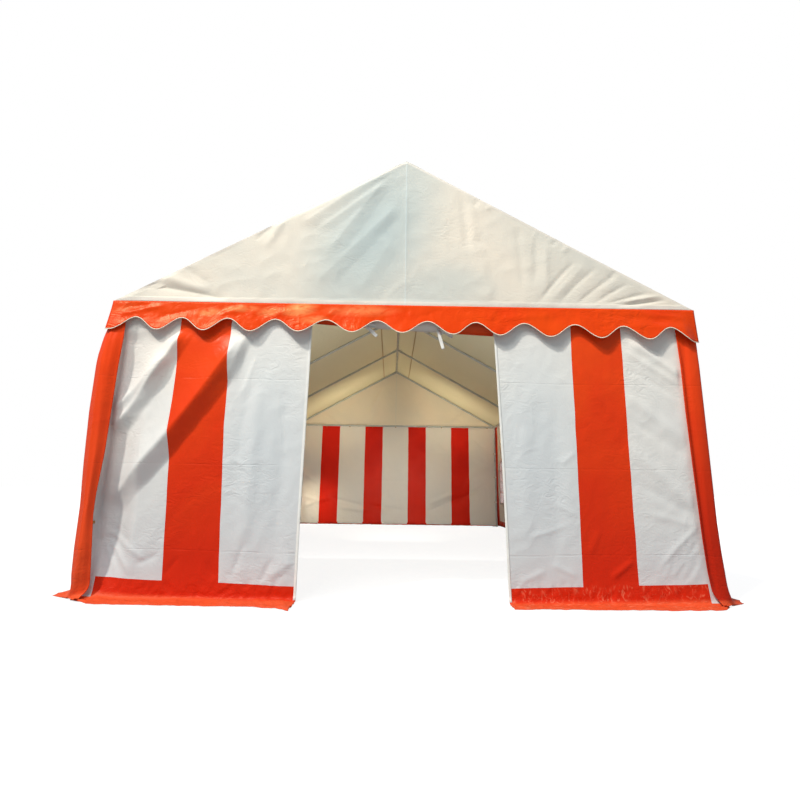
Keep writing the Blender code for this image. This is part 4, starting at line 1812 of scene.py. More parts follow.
    def build(self, finish: Material, film: Material, tape: Material) -> list:
        """Builds the wall, its panes and the tapes over them.

        Args:
            finish: The wall's material.
            film: The panes' material.
            tape: The tapes' material.

        Returns:
            The three pieces.
        """
        panes, bars = self._panes(film), self._tapes(tape)
        top = self.window_spring + self.window_half
        rows = np.concatenate((
            spread_places((-self.flap.length, 0.0, self.window_sill), CELL_SIDE),
            spread_places((self.window_sill, self.window_spring), CELL_SIDE)[1:],
            spread_places((self.window_spring, top), 0.02)[1:],
            spread_places((top, self.sizes.wall_top - 0.001), CELL_SIDE)[1:]))
        cut = FlatCut(f"side_sheet_{self.side.word}")
        cut.add_grid(self._columns(), rows)
        for middle in self.window_middles:
            self._cut_window(cut.mesh, middle)
        sheet = cut.lay(self.place, finish, (float(self.side.value), 0.0, 0.0))
        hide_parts(f"side_wall_{self.side.word}")
        window = 2 * self.window_half * (self.window_spring - self.window_sill)
        window += math.pi * self.window_half ** 2 / 2
        return [sheet, panes, bars]

    def _columns(self) -> Array:
        """Spreads the wall's lines across, finer over windows and round corners.

        Returns:
            The places of the lines.
        """
        corner = (self.straight, self.bend_end, self.cloth_end)
        windows = [middle + edge for middle in self.window_middles
                   for edge in (-self.window_half, self.window_half)]
        stops = (*(-place for place in reversed(corner)), *windows, *corner)
        places = [stops[0]]
        for low, high in zip(stops, stops[1:]):
            at_corner = max(abs(low), abs(high)) > self.straight + 0.001
            over_window = abs(high - low - 2 * self.window_half) < 0.001
            cell = 0.008 if at_corner else 0.02 if over_window else 0.04
            places.extend(spread_places((low, high), cell)[1:])
        return np.array(places)

    def _cut_window(self, cloth: Shape, middle: float) -> None:
        """Cuts one arched window out of the flat cloth.

        Args:
            cloth: The flat cloth.
            middle: The window's middle along the wall.
        """
        radius, sill, spring = self.window_half, self.window_sill, self.window_spring

        def inside(point: Vector) -> bool:
            """Says whether a place is in the window."""
            off, rise = abs(point.x - middle), max(point.y - spring, 0.0)
            return point.y >= sill and math.hypot(off, rise) <= radius

        gone = [face for face in cloth.faces if inside(face.calc_center_median())]
        rim = {point for face in gone for point in face.verts}
        bmesh.ops.delete(cloth, geom=gone, context="FACES")
        for point in rim:
            if point.is_valid and point.co.y >= spring + 0.001:
                off = Vector((point.co.x - middle, point.co.y - spring)).normalized() * radius
                point.co.x, point.co.y = middle + off.x, spring + off.y

    def _panes(self, material: Material) -> Piece:
        """Builds the clear panes, each a little larger than its window and behind the wall.

        Args:
            material: The film's material.

        Returns:
            The piece.
        """
        sill, spring = self.window_sill - self.pane_lap, self.window_spring
        half = self.window_half + self.pane_lap
        steps = 9
        last_angle = QUARTER_TURN - 0.06
        rows = np.concatenate((
            spread_places((sill, spring), 0.05),
            spring + half * np.sin(np.linspace(0.0, last_angle, steps))[1:]))
        cut = FlatCut(f"window_panes_{self.side.word}")
        for middle in self.window_middles:
            def shape(column: float, row: float) -> tuple:
                """Rounds the pane's top to the arch."""
                wide = math.sqrt(max(half ** 2 - max(row - spring, 0.0) ** 2, 0.0))
                return middle + column * wide, row, self.pane_depth

            cut.add_grid(np.linspace(-1.0, 1.0, steps), rows, shape)
        outward = (float(self.side.value), 0.0, 0.0)
        piece = cut.lay(self.place, material, outward, self.pane_thickness)
        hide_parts(f"window_film_{self.side.word}")
        return piece

    def _tapes(self, material: Material) -> Piece:
        """Builds the tape round each window, its three cross bars and its middle bar.

        Args:
            material: The tapes' material.

        Returns:
            The piece.
        """
        cut = FlatCut(f"window_tapes_{self.side.word}")
        radius, sill, spring = self.window_half, self.window_sill, self.window_spring
        frame_half, bar_half, lift = self.frame_tape / 2, self.bar_tape / 2, TAPE_THICKNESS
        for middle in self.window_middles:
            def arch(column: float, row: float) -> tuple:
                """Bends the tape over the window's round top."""
                far = radius + row
                return middle + far * math.cos(column), spring + far * math.sin(column), lift

            for edge in (middle - radius, middle + radius):
                cut.add_strip((edge - frame_half, sill - frame_half), (edge + frame_half, spring),
                              lift)
            cut.add_strip((middle - radius - frame_half, sill - frame_half),
                          (middle + radius + frame_half, sill + frame_half), lift * 1.6)
            cut.add_grid(np.linspace(0.0, math.pi, 17), np.array((-frame_half, frame_half)), arch)
            for height in self.bar_heights:
                cut.add_strip((middle - radius, height - bar_half),
                              (middle + radius, height + bar_half), lift)
            cut.add_strip((middle - bar_half, sill), (middle + bar_half, spring + radius),
                          lift * HALF)
        outward = (float(self.side.value), 0.0, 0.0)
        piece = cut.lay(self.place, material, outward, TAPE_THICKNESS, 0.0)
        return piece


@dataclass
class RolledDoor:
    """The door panel, rolled up and tied under the front tie pole."""

    sizes: TentSizes
    middle_y: float = -3.9419
    outer_radius: float = 0.049
    core_radius: float = 0.008
    turns: float = 9.0
    turn_steps: int = 18
    left_height: float = 1.829
    right_height: float = 1.759
    slack: float = 0.004
    hung: float = 0.07
    hung_top: float = 1.888
    pinch: float = 0.06
    pinch_width: float = 0.03
    thickness: float = 0.0012
    wrinkle: Ripple = Ripple(0.09, 0.0022, 71.0, 2.0)
    tie_places: tuple[float, float] = (-0.26, 0.26)
    tie_width: float = 0.023
    tail_width: float = 0.021
    loop_top: float = 1.9085
    loop_corner: float = 0.034
    loop_top_corner: float = 0.018

    @property
    def rolled(self) -> float:
        """The length of the cloth in the roll."""
        return math.tau * self.turns * (self.outer_radius + self.core_radius) / 2

    def middle_height(self, across: Array) -> Array:
        """Gives the height of the roll's middle.

        Args:
            across: Places across the doorway.

        Returns:
            The height at each.
        """
        share = (across + self.sizes.door_half) / (2 * self.sizes.door_half)
        sagged = self.slack * np.sin(np.pi * np.clip(share, 0.0, 1.0))
        return self.left_height + (self.right_height - self.left_height) * share - sagged

    def place(self, across: Array, along: Array, above: Array) -> Array:
        """Hangs the panel's head from the pole, and rolls the rest of it up.

        Args:
            across: Places across the cloth.
            along: Lengths of cloth from the roll's start, below 0 on the hanging head.
            above: Unused, as the cut is flat.

        Returns:
            The points in the tent.
        """
        middle = self.middle_height(across)
        turned = np.clip(along / self.rolled, 0.0, 1.0)
        angle = math.pi + math.tau * self.turns * turned
        radius = self.outer_radius - (self.outer_radius - self.core_radius) * turned
        pinched = sum(bell(across, tie, self.pinch_width) for tie in self.tie_places)
        radius = radius * (1 - self.pinch * pinched)
        radius = radius + self.wrinkle.height(across, along) * (1 - turned)
        hanging = np.clip(-along / self.hung, 0.0, 1.0)
        z = middle + radius * np.sin(angle) + hanging * (self.hung_top - middle)
        y = np.where(along < 0, self.middle_y - self.outer_radius - 0.0008,
                     self.middle_y + radius * np.cos(angle))
        return np.column_stack((across, y, z))

    def build(self, finish: Material, tape: Material) -> list:
        """Builds the rolled panel and its ties.

        Args:
            finish: The panel's material.
            tape: The ties' material.

        Returns:
            The pieces.
        """
        half, rolled = self.sizes.door_half - 0.002, self.rolled
        turns = rolled * np.linspace(0.0, 1.0, round(self.turns * self.turn_steps) + 1)[1:]
        cut = FlatCut("door_roll_sheet")
        cut.add_grid(spread_places((-half, half), 0.04),
                     np.concatenate((spread_places((-self.hung, 0.0), 0.0175), turns)))
        sheet = cut.lay(self.place, finish, None, self.thickness, 0.0)
        ties = self._ties(tape)
        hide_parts("door_panel")
        return [sheet, *ties]

    def _ties(self, tape: Material) -> list:
        """Builds a tie at each side: a loop round pole and roll, and loose tails.

        Args:
            tape: Their material.

        Returns:
            The pieces.
        """
        tails = {
            Side.LEFT: (((-0.285, 1.775), (-0.245, 1.735), (-0.19, 1.682)),
                        ((-0.275, 1.770), (-0.235, 1.765), (-0.205, 1.752))),
            Side.RIGHT: (((0.228, 1.745), (0.236, 1.69), (0.262, 1.60)),
                         ((0.232, 1.750), (0.275, 1.722), (0.325, 1.684))),
        }
        made = []
        for side, middle in zip(Side, self.tie_places):
            loop = self._loop(f"door_tie_loop_{side.word}", middle, tape)
            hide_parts(f"door_tie_{side.word}")
            made.append(loop)
            for number, route in enumerate(tails[side], start=1):
                made.append(self._tail(f"door_tie_tail_{side.word}_{number}", route, tape))
        return made

    def _loop(self, name: str, middle: float, tape: Material) -> Piece:
        """Builds the strap round the pole and the roll.

        Args:
            name: The piece's name.
            middle: The strap's middle across.
            tape: Its material.

        Returns:
            The piece.
        """
        corner, top_corner = self.loop_corner, self.loop_top_corner
        centre = float(self.middle_height(np.array([middle]))[0])
        low, high = centre - self.outer_radius - 0.0035, self.loop_top
        near = self.middle_y - self.outer_radius - 0.0028
        far = self.middle_y + self.outer_radius + 0.003
        centres = np.array([[far - corner, high - top_corner], [near + corner, high - top_corner],
                            [near + corner, low + corner], [far - corner, low + corner]])

        def place(across: Array, along: Array, above: Array) -> Array:
            """Runs the strap round the two, as a rounded upright loop.

            Args:
                across: Places across the strap.
                along: Their share of the way round.
                above: Unused, as the cut is flat.

            Returns:
                The points in the tent.
            """
            quarter = np.minimum((along * 4).astype(int), 3)
            angle = QUARTER_TURN * along * 4
            rise = np.where(quarter < 2, top_corner, corner)
            y = centres[quarter, 0] + corner * np.cos(angle)
            z = centres[quarter, 1] + rise * np.sin(angle)
            return np.column_stack((middle + across, y, z))

        cut = FlatCut(name)
        half = self.tie_width / 2
        cut.add_grid(np.linspace(-half, half, 5), np.linspace(0.0, 1.0, 41))
        bmesh.ops.remove_doubles(cut.mesh, verts=cut.mesh.verts, dist=MERGE_REACH)
        piece = cut.lay(place, tape, None, TAPE_THICKNESS, 0.0,
                        pattern=lambda across, along: (across, along * 0.5))
        return piece

    def _tail(self, name: str, route: tuple[Point, ...], tape: Material) -> Piece:
        """Builds one loose end of a tie, hanging in front of the roll.

        Args:
            name: The piece's name.
            route: The points that its middle passes, as X and Z.
            tape: Its material.

        Returns:
            The piece.
        """
        stops = np.linspace(0.0, 1.0, len(route))
        route_x, route_z = zip(*route)
        half, step, curl = self.tail_width / 2, 0.05, 0.006
        front = self.middle_y - self.outer_radius - 0.004

        def place(across: Array, along: Array, above: Array) -> Array:
            """Hangs the tail along its route.

            Args:
                across: Places across the tail.
                along: Their share of the way down it.
                above: Unused, as the cut is flat.

            Returns:
                The points in the tent.
            """
            x, z = np.interp(along, stops, route_x), np.interp(along, stops, route_z)
            ahead, back = along + step, along - step
            run_x, run_z = (np.interp(ahead, stops, line) - np.interp(back, stops, line)
                            for line in (route_x, route_z))
            length = np.hypot(run_x, run_z)
            y = front - curl * (np.sin(along * 5.0 + across * 120.0) + along)
            return np.column_stack((x + across * run_z / length, y, z - across * run_x / length))

        cut = FlatCut(name)
        cut.add_grid(np.linspace(-half, half, 5), np.linspace(0.0, 1.0, 17))
        piece = cut.lay(place, tape, (0.0, -1.0, 0.0), TAPE_THICKNESS, 0.0,
                        pattern=lambda across, along: (across, along * 0.12))
        return piece


@dataclass
class Fastenings:
    """Small ties and fittings: toggles on the tie poles, clips on the corner legs and bolts."""

    sizes: TentSizes
    toggle_pitch: float = 0.457
    toggle_count: int = 9
    loop_radius: float = 0.0185
    loop_thickness: float = 0.0022
    bead_radius: float = 0.012
    bead_out: float = 0.018
    bead_drop: float = 0.021
    clip_heights: tuple[float, ...] = (0.45, 0.92, 1.37)
    clip_size: tuple[float, float, float] = (0.008, 0.026, 0.018)
    clip_round: float = 0.0022
    clip_in: float = 0.026
    strap_radius: float = 0.0205
    strap_height: float = 0.02
    bolt_radius: float = 0.0075
    bolt_depth: float = 0.006
    bolt_in: float = 0.0225
    bolt_drops: tuple[float, ...] = (0.055, 0.085)

    def build(self, cord: Material, bead: Material, bolt: Material) -> list:
        """Builds every fitting.

        Args:
            cord: The material of loops and straps.
            bead: The material of toggles and clips.
            bolt: The material of bolts.

        Returns:
            The pieces.
        """
        return [*self._toggles(cord, bead), *self._clips(cord, bead), self._bolts(bolt)]

    def _toggles(self, cord: Material, bead: Material) -> list:
        """Builds the looped toggles that hold the end walls to the tie poles.

        Args:
            cord: The loops' material.
            bead: The toggles' material.

        Returns:
            The pieces.
        """
        made = []
        for end in End:
            low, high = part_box(f"tie_pole_{end.word}")
            y, z = (low[1] + high[1]) / 2, (low[2] + high[2]) / 2
            loops, beads = bmesh.new(), bmesh.new()
            for number in range(self.toggle_count):
                x = self.toggle_pitch * (number - self.toggle_count // 2)
                if end is End.FRONT and abs(x) < self.sizes.door_half + 0.02:
                    continue
                section = bmesh.ops.create_circle(loops, segments=6,
                                                  radius=self.loop_thickness)["verts"]
                self._spin(loops, section, Vector((x, y, z)),
                           Vector((0.0, self.loop_radius, 0.0)), "X", 14)
                grown = bmesh.ops.create_uvsphere(beads, u_segments=10, v_segments=8,
                                                  radius=self.bead_radius)["verts"]
                below = Vector((x, y - end.value * self.bead_out, z - self.bead_drop))
                bmesh.ops.translate(beads, verts=grown, vec=below)
            made.append(self._finish(f"toggle_loops_{end.word}", loops, cord, "tie_webbing"))
            made.append(self._finish(f"toggle_beads_{end.word}", beads, bead, "tie_webbing"))
        return made

    @staticmethod
    def _spin(shape: Shape, section: list, middle: Vector, off: Vector, axis: str,
              steps: int) -> None:
        """Turns a section right round an axis through a middle.

        Args:
            shape: The geometry that holds the section.
            section: The section's points, made about the origin.
            middle: The middle of the turn.
            off: How far off it the section is.
            axis: The direction that it turns about, "X" or "Z".
            steps: How many steps the turn has.
        """
        bmesh.ops.translate(shape, verts=section, vec=middle + off)
        edges = list({edge for point in section for edge in point.link_edges})
        bmesh.ops.spin(shape, geom=[*section, *edges], cent=middle,
                       axis=(float(axis == "X"), 0.0, float(axis == "Z")),
                       angle=math.tau, steps=steps, use_merge=True)

    def _clips(self, strap: Material, clip: Material) -> list:
        """Builds the strap and clip that hold each corner strip to its leg.

        Args:
            strap: The straps' material.
            clip: The clips' material.

        Returns:
            The two pieces.
        """
        straps, clips = bmesh.new(), bmesh.new()
        corners = [(side, end, height) for side in Side for end in End
                   for height in self.clip_heights]
        for side, end, height in corners:
            y = self.sizes.frames[0 if end is End.FRONT else -1]
            middle = Vector((side.value * LEG_AXIS, y, height))
            self._band(straps, middle)
            body = bmesh.ops.create_cube(clips, size=1.0)["verts"]
            bmesh.ops.scale(clips, verts=body, vec=self.clip_size)
            inwards = Vector((-side.value * self.clip_in, -end.value * 0.004, 0.0))
            bmesh.ops.translate(clips, verts=body, vec=middle + inwards)
            edges = list({edge for point in body for edge in point.link_edges})
            bmesh.ops.bevel(clips, geom=edges, offset=self.clip_round, offset_type="OFFSET",
                            segments=2, profile=0.5, affect="EDGES", material=-1)
        return [self._finish("corner_straps", straps, strap, "tie_webbing"),
                self._finish("corner_clips", clips, clip, "tie_webbing")]

    def _band(self, shape: Shape, middle: Vector) -> None:
        """Adds a flat band round an upright tube.

        Args:
            shape: The geometry to add it to.
            middle: The band's middle.
        """
        section = bmesh.ops.create_grid(shape, x_segments=1, y_segments=1, size=HALF)["verts"]
        bmesh.ops.scale(shape, verts=section, vec=(TAPE_THICKNESS, self.strap_height, 1.0))
        bmesh.ops.rotate(shape, verts=section, matrix=Matrix.Rotation(QUARTER_TURN, 3, "X"))
        faces = list({face for point in section for face in point.link_faces})
        bmesh.ops.delete(shape, geom=faces, context="FACES_ONLY")
        self._spin(shape, section, middle, Vector((self.strap_radius, 0.0, 0.0)), "Z", 20)

    def _bolts(self, material: Material) -> Piece:
        """Builds the bolt heads on the connectors at the eaves.

        Args:
            material: Their material.

        Returns:
            The piece.
        """
        shape = bmesh.new()
        places = [(side.value * (LEG_AXIS - self.bolt_in), y, EAVE_AXIS - drop)
                  for side in Side for y in self.sizes.frames for drop in self.bolt_drops]
        for place in places:
            head = bmesh.ops.create_cone(shape, cap_ends=True, segments=6,
                                         radius1=self.bolt_radius, radius2=self.bolt_radius,
                                         depth=self.bolt_depth)["verts"]
            bmesh.ops.rotate(shape, verts=head, matrix=Matrix.Rotation(QUARTER_TURN, 3, "Y"))
            bmesh.ops.translate(shape, verts=head, vec=place)
        return self._finish("connector_bolts", shape, material, "galvanised_steel")

    @staticmethod
    def _finish(name: str, shape: Shape, material: Material, slot: str) -> Piece:
        """Turns finished geometry into a piece with its faces outwards.

        Args:
            name: The piece's name.
            shape: Its geometry, in the tent's own frame.
            material: Its material.
            slot: Not used.

        Returns:
            The piece.
        """
        bmesh.ops.remove_doubles(shape, verts=shape.verts, dist=MERGE_REACH)
        bmesh.ops.recalc_face_normals(shape, faces=shape.faces)
        layer = shape.loops.layers.uv.new(CLOTH_MAP)
        for corner in (corner for face in shape.faces for corner in face.loops):
            corner[layer].uv = (corner.vert.co.x + corner.vert.co.y, corner.vert.co.z)
        mesh = bpy.data.meshes.new(name)
        shape.to_mesh(mesh)
        shape.free()
        mesh.shade_smooth()
        piece = new_piece(name, mesh, material)
        return piece


@dataclass
class SteelFrame:
    """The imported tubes, which keep their shape and get a better finish."""

    prefixes: tuple[str, ...] = ("leg_", "rafter_", "eave_rail_", "ridge_rail", "tie_pole_")

    def dress(self, finish: Material) -> list[str]:
        """Gives every tube its finish.

        Args:
            finish: The tubes' material.

        Returns:
            The tubes' names.
        """
        tubes = {name: node for name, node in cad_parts.items()
                 if name.startswith(self.prefixes)}
        for slot in (slot for node in tubes.values() for slot in node.material_slots):
            slot.material = finish
        return list(tubes)


@dataclass(frozen=True)
class Lamp:
    """A square soft lamp that the camera doesn't see, facing its aim."""

    name: str
    place: tuple[float, float, float]
    aim: tuple[float, float, float]
    size: float
    power: float
    colour: Colour
    beam: float = 180.0

    def add(self) -> None:
        """Puts the lamp in the scene."""
        data = bpy.data.lights.new(self.name, "AREA")
        data.spread = math.radians(self.beam)
        data.energy = self.power
        data.size = self.size
        data.color = self.colour
        lamp = linked(self.name, data)
        lamp.location = self.place
        away = Vector(self.place) - Vector(self.aim)
        lamp.rotation_euler = away.to_track_quat("Z", "Y").to_euler()
        lamp.visible_camera = False
        lamp.visible_glossy = False


LAMPS = (
    Lamp("upper_front", (-1.8, -7.6, 6.2), (-0.3, -4.0, 2.0), 2.0, 215.0, (1.0, 0.97, 0.93)),
    Lamp("rear_fill", (7.5, 6.5, 5.0), (1.0, 1.0, 1.2), 4.0, 300.0, (0.95, 0.97, 1.0)),
    Lamp("rear_wash", (0.0, 0.2, 0.7), (0.0, 4.0, 0.45), 1.2, 13.0, (1.0, 0.97, 0.88), 85.0),
    Lamp("ceiling_wash", (0.0, -1.9, 0.25), (0.0, 0.9, 2.9), 2.2, 36.0, (0.98, 0.98, 0.96)),
    Lamp("window_sun", (-1.80, 3.2, 0.80), (-1.42, 4.0, 0.26), 0.14, 1.4, (1.0, 0.84, 0.58), 80.0),
    Lamp("bay_glow_left", (0.4, 2.0, 0.45), (-1.2, 3.38, 2.3), 0.4, 4.6, (1.0, 0.81, 0.52), 50.0),
    Lamp("bay_glow_right", (-0.4, 2.0, 0.45), (1.2, 3.38, 2.3), 0.4, 4.6, (1.0, 0.81, 0.52), 50.0),
    Lamp("rear_top", (0.0, 3.1, 5.4), (0.0, 3.1, 2.5), 1.8, 75.0, (1.0, 0.94, 0.74)),
)


@dataclass
class Studio:
    """The camera, lights, backdrop and floor."""

    eye: tuple[float, float, float] = (-0.080, -7.883, 0.679)
    yaw: float = -0.69
    pitch: float = 14.42
    roll: float = 0.76
    lens: float = 26.49
    sensor: float = 36.0
    shift_up: float = -0.0783
    farthest: float = 500.0
    sun_towards: tuple[float, float, float] = (-0.42, -0.47, 0.78)
    sun_strength: float = 2.5
    sun_spread: float = 4.0
    sun_colour: Colour = (1.0, 0.95, 0.87)
    sky: float = 0.44
    floor_size: float = 120.0
    floor_fade: tuple[float, float] = (5.0, 10.0)
    floor_bounce: Colour = (0.30, 0.31, 0.32)

    def build(self) -> None:
        """Builds the whole studio."""
        self._camera()
        self._sun()
        for lamp in LAMPS:
            lamp.add()
        self._backdrop()
        self._floor()

    def _camera(self) -> None:
        """Places the camera at the photograph's viewing angle."""
        yaw, pitch, roll = (math.radians(angle) for angle in (self.yaw, self.pitch, self.roll))
        right = Vector((math.cos(yaw), math.sin(yaw), 0.0))
        ahead = Vector((-math.sin(yaw), math.cos(yaw), 0.0))
        forward = ahead * math.cos(pitch) + Vector((0.0, 0.0, math.sin(pitch)))
        up = Vector((0.0, 0.0, math.cos(pitch))) - ahead * math.sin(pitch)
        across = right * math.cos(roll) + up * math.sin(roll)
        upward = up * math.cos(roll) - right * math.sin(roll)
        turn = Matrix((across, upward, -forward)).transposed().to_4x4()
        data = bpy.data.cameras.new("camera")
        data.lens = self.lens
        data.sensor_width = self.sensor
        data.sensor_fit = "HORIZONTAL"
        data.shift_y = self.shift_up
        data.clip_end = self.farthest
        camera = linked("camera", data)
        camera.matrix_world = Matrix.Translation(Vector(self.eye)) @ turn
        bpy.context.scene.camera = camera

    def _sun(self) -> None:
        """Adds the warm key light from the upper left in front."""
        data = bpy.data.lights.new("key", "SUN")
        data.energy = self.sun_strength
        data.angle = math.radians(self.sun_spread)
        data.color = self.sun_colour
        towards = Vector(self.sun_towards)
        linked("key", data).rotation_euler = towards.to_track_quat("Z", "Y").to_euler()

    def _backdrop(self) -> None:
        """Makes the surroundings white to the eye and softer as light."""
        graph = ShaderGraph(bpy.data.worlds.new("studio"))
        light = graph.node("ShaderNodeBackground",
                           values={"Color": SKY_BLUE, "Strength": self.sky})
        seen = graph.node("ShaderNodeBackground", values={"Color": PURE_WHITE})
        path = graph.wire(graph.node("ShaderNodeLightPath"), "Is Camera Ray")
        bpy.context.scene.world = graph.finish(graph.blend(path, light, seen), "World")
        bpy.context.scene.view_settings.view_transform = "Standard"

    def _floor(self) -> None:
        """Lays the plain pale floor, which brightens to white far from the tent."""
        shape = bmesh.new()
        bmesh.ops.create_circle(shape, cap_ends=True, segments=64, radius=self.floor_size)
        mesh = bpy.data.meshes.new("floor")
        shape.to_mesh(mesh)
        shape.free()
        graph = ShaderGraph(bpy.data.materials.new("pale_floor"))
        length = graph.wire(graph.node("ShaderNodeVectorMath", {"operation": "LENGTH"},
                                       {0: graph.object_place()}), "Value")
        seen = graph.node("ShaderNodeBsdfPrincipled", values={
            "Base Color": FLOOR_GREY, "Roughness": 0.9, "Specular IOR Level": 0.0,
            "Emission Color": graph.mix(length.ramp(*self.floor_fade), NEAR_WHITE, PURE_WHITE),
            "Emission Strength": 1.0})
        bounced = graph.node("ShaderNodeBsdfDiffuse", values={"Color": self.floor_bounce})
        path = graph.wire(graph.node("ShaderNodeLightPath"), "Is Camera Ray")
        mesh.materials.append(graph.finish(graph.blend(path, bounced, seen)))
        floor = linked("floor", mesh)


PACKING_ROWS = (1.372, 0.815, 0.292)
ROOF_SEAMS = {"seams": (-0.286, 0.286), "seam_colour": SEAM_BROWN, "seam_share": 0.85,
              "see_through": 0.30}
GABLE_TRIM = {"seams": (0.0,), "seam_half_width": 0.006, "trim_top": 1.933,
              "gable_top": (3.0166, 0.5575)}
VALANCE_SHEEN = {"all_coloured": True, "see_through": 0.10, "stripe_roughness": 0.30,
                 "gloss_tint": WARM_GLOSS}
SIDE_STRIPES = Stripes(pitch=1.0, last_centre=3.0, beyond=3.79)
# Painted sheen: where pale glossy highlights are painted on the front valance.
VALANCE_SHEEN_PATCHES = (
    Tint((-0.72, 1.86), (0.14, 0.07), 0.6, 1.0), Tint((-1.34, 1.83), (0.10, 0.04), 0.5, 0.6),
    Tint((-1.12, 1.86), (0.16, 0.035), 0.4, 0.6), Tint((-0.93, 1.84), (0.10, 0.05), 0.4, 0.6),
    Tint((-0.30, 1.86), (0.30, 0.06), 0.3, 0.45), Tint((-1.93, 1.85), (0.10, 0.06), 1.0, 0.15),
    Tint((-0.62, 1.78), (0.12, 0.04), 0.6, 0.6))


def made_by(finish: Finish) -> Material:
    """Has a finish make its material when the tent's finishes are gathered."""
    return field(default_factory=finish.make)


@dataclass
class Finishes:
    """Every material of the tent, each made once."""

    roof: Material = made_by(CoatedSheet("roof_cream", CREAM, COOL_CREAM, **ROOF_SEAMS))
    # Painted shade: the roof's inner face is a darker copy of the cream.
    shaded_lining: Material = made_by(CoatedSheet("roof_shaded_lining", SHADED_ROOF_LINING, SHADED_ROOF_LINING,
                                           glow=CREAM_GLOW, **ROOF_SEAMS))
    gable: Material = made_by(CoatedSheet(
        "gable_cream", CREAM, COOL_CREAM, see_through=0.25, seam_share=0.12, crumple=0.8,
        # Painted shade: cooler patches in the middle and low down, standing in for shade and sky
        # reflection.
        tints=(Tint((-0.22, 2.45), (0.55, 0.95), 0.30, 0.95),
               Tint((0.1, 2.0), (0.7, 0.3), 0.0, 0.5)), **GABLE_TRIM))
    gable_rear: Material = made_by(CoatedSheet(
        "rear_gable_cream", CREAM, COOL_CREAM, see_through=0.3, **GABLE_TRIM))
    valance: Material = made_by(CoatedSheet(
        "valance_orange", ORANGE, DEEP_ORANGE, VALANCE_ORANGE, VALANCE_SHADE, crumple=1.6,
        **VALANCE_SHEEN))
    front_valance: Material = made_by(CoatedSheet(
        "front_valance_orange", ORANGE, DEEP_ORANGE, VALANCE_ORANGE, VALANCE_SHADE, crumple=1.8,
        sheen_colour=SHEEN_ORANGE, tints=VALANCE_SHEEN_PATCHES, **VALANCE_SHEEN))
    front: Material = made_by(CoatedSheet(
        "front_white", WHITE, COOL_WHITE,
        stripes=Stripes(centres=(FRONT_STRIPE,), half_width=0.172), hem_top=0.112,
        hem_from=-1.905, hem_end=1.914, hem_lean=0.09, hem_glints=0.65,
        packing_rows=PACKING_ROWS, painted_low_share=0.9,
        # Painted shade: cooler patches beside the doorway.
        tints=(Tint((-0.86, 0.8), (0.55, 1.2), 0.0, 0.9),
               Tint((0.86, 0.8), (0.55, 1.2), 0.0, 0.9))))
    side_left: Material = made_by(CoatedSheet(
        "left_side_white", WHITE, COOL_WHITE, stripes=SIDE_STRIPES, hem_top=0.112,
        # Painted highlight on the left corner strip's foot.
        packing_rows=PACKING_ROWS, painted_low_share=0.8, painted_low_stripe=LIT_STRIP_ORANGE))
    side_right: Material = made_by(CoatedSheet(
        "right_side_white", WHITE, COOL_WHITE, stripes=SIDE_STRIPES, hem_top=0.112,
        packing_rows=PACKING_ROWS, low_from=1.5, low_to=0.35, painted_low_share=0.95,
        # Painted shade on the right corner strip's lower part.
        painted_low_stripe=SHADED_STRIP_ORANGE))
    rear: Material = made_by(CoatedSheet(
        "rear_white", WHITE, COOL_WHITE, INNER_RED, INNER_SHADE,
        Stripes(centres=(0.43, 1.285), widened_above=1.872, widened_below=0.05), hem_top=0.02,
        packing_rows=PACKING_ROWS, painted_low_share=0.4))
    door: Material = made_by(CoatedSheet("door_white", WHITE, COOL_WHITE,
                                         stripes=Stripes(centres=(0.435,))))
    piping: Material = made_by(WovenTape("cream_piping", PIPING))
    tape: Material = made_by(WovenTape("white_webbing", TAPE_WHITE))
    film: Material = made_by(ClearFilm("red_tinted_film"))
    steel: Material = made_by(GalvanisedSteel("zinc_tube"))
    bead: Material = made_by(MouldedFitting("brass_toggle", BRASS, 0.6, 0.4))


BULGES = {
    Side.LEFT: ((-0.2, 0.0, 0.12, 0.30, 0.55, 0.81, 1.15, 1.52, 1.66, 1.74, 1.85),
                (0.0, 0.012, 0.014, 0.006, 0.006, 0.020, 0.032, 0.030, 0.016, 0.002, 0.0)),
    Side.RIGHT: ((-0.2, 0.0, 0.06, 0.15, 0.33, 0.5, 1.85),
                 (0.01, 0.03, 0.028, 0.018, 0.006, 0.0, 0.0)),
}
EDGE_LIFTS = {
    Side.LEFT: ((-0.2, 0.0, 0.06, 0.15, 0.30, 0.60, 1.30, 1.60, 1.75, 1.88),
                (0.0, 0.004, 0.010, 0.026, 0.040, 0.042, 0.038, 0.030, 0.020, 0.002)),
    Side.RIGHT: ((-0.2, 0.0, 0.1, 0.3, 0.8, 1.3, 1.6, 1.70, 1.88),
                 (0.0, 0.004, 0.012, 0.024, 0.026, 0.024, 0.016, 0.006, 0.002)),
}
CRESTS = {
    Side.LEFT: ((-0.2, 0.0, 0.06, 0.15, 0.30, 1.45, 1.62, 1.72, 1.9),
                (0.0, 0.004, 0.018, 0.044, 0.066, 0.066, 0.046, 0.026, 0.0)),
    Side.RIGHT: ((-0.2, 0.0, 0.1, 0.3, 0.8, 1.2, 1.5, 1.65, 1.72, 1.9),
                 (0.0, 0.004, 0.006, 0.008, 0.012, 0.014, 0.014, 0.008, 0.003, 0.0)),
}
CORNER_SLACK = {Side.LEFT: (0.0, 1.0, 0.12), Side.RIGHT: (0.018, 0.35, 0.28)}
CORNER_BILLOWS = {
    (End.FRONT, Side.LEFT): (0.046, 0.006), (End.FRONT, Side.RIGHT): (0.012, 0.002),
    (End.REAR, Side.LEFT): (0.015, 0.015), (End.REAR, Side.RIGHT): (0.015, 0.015),
}
SIDE_DROOPS = {Side.LEFT: -0.010, Side.RIGHT: -0.032}


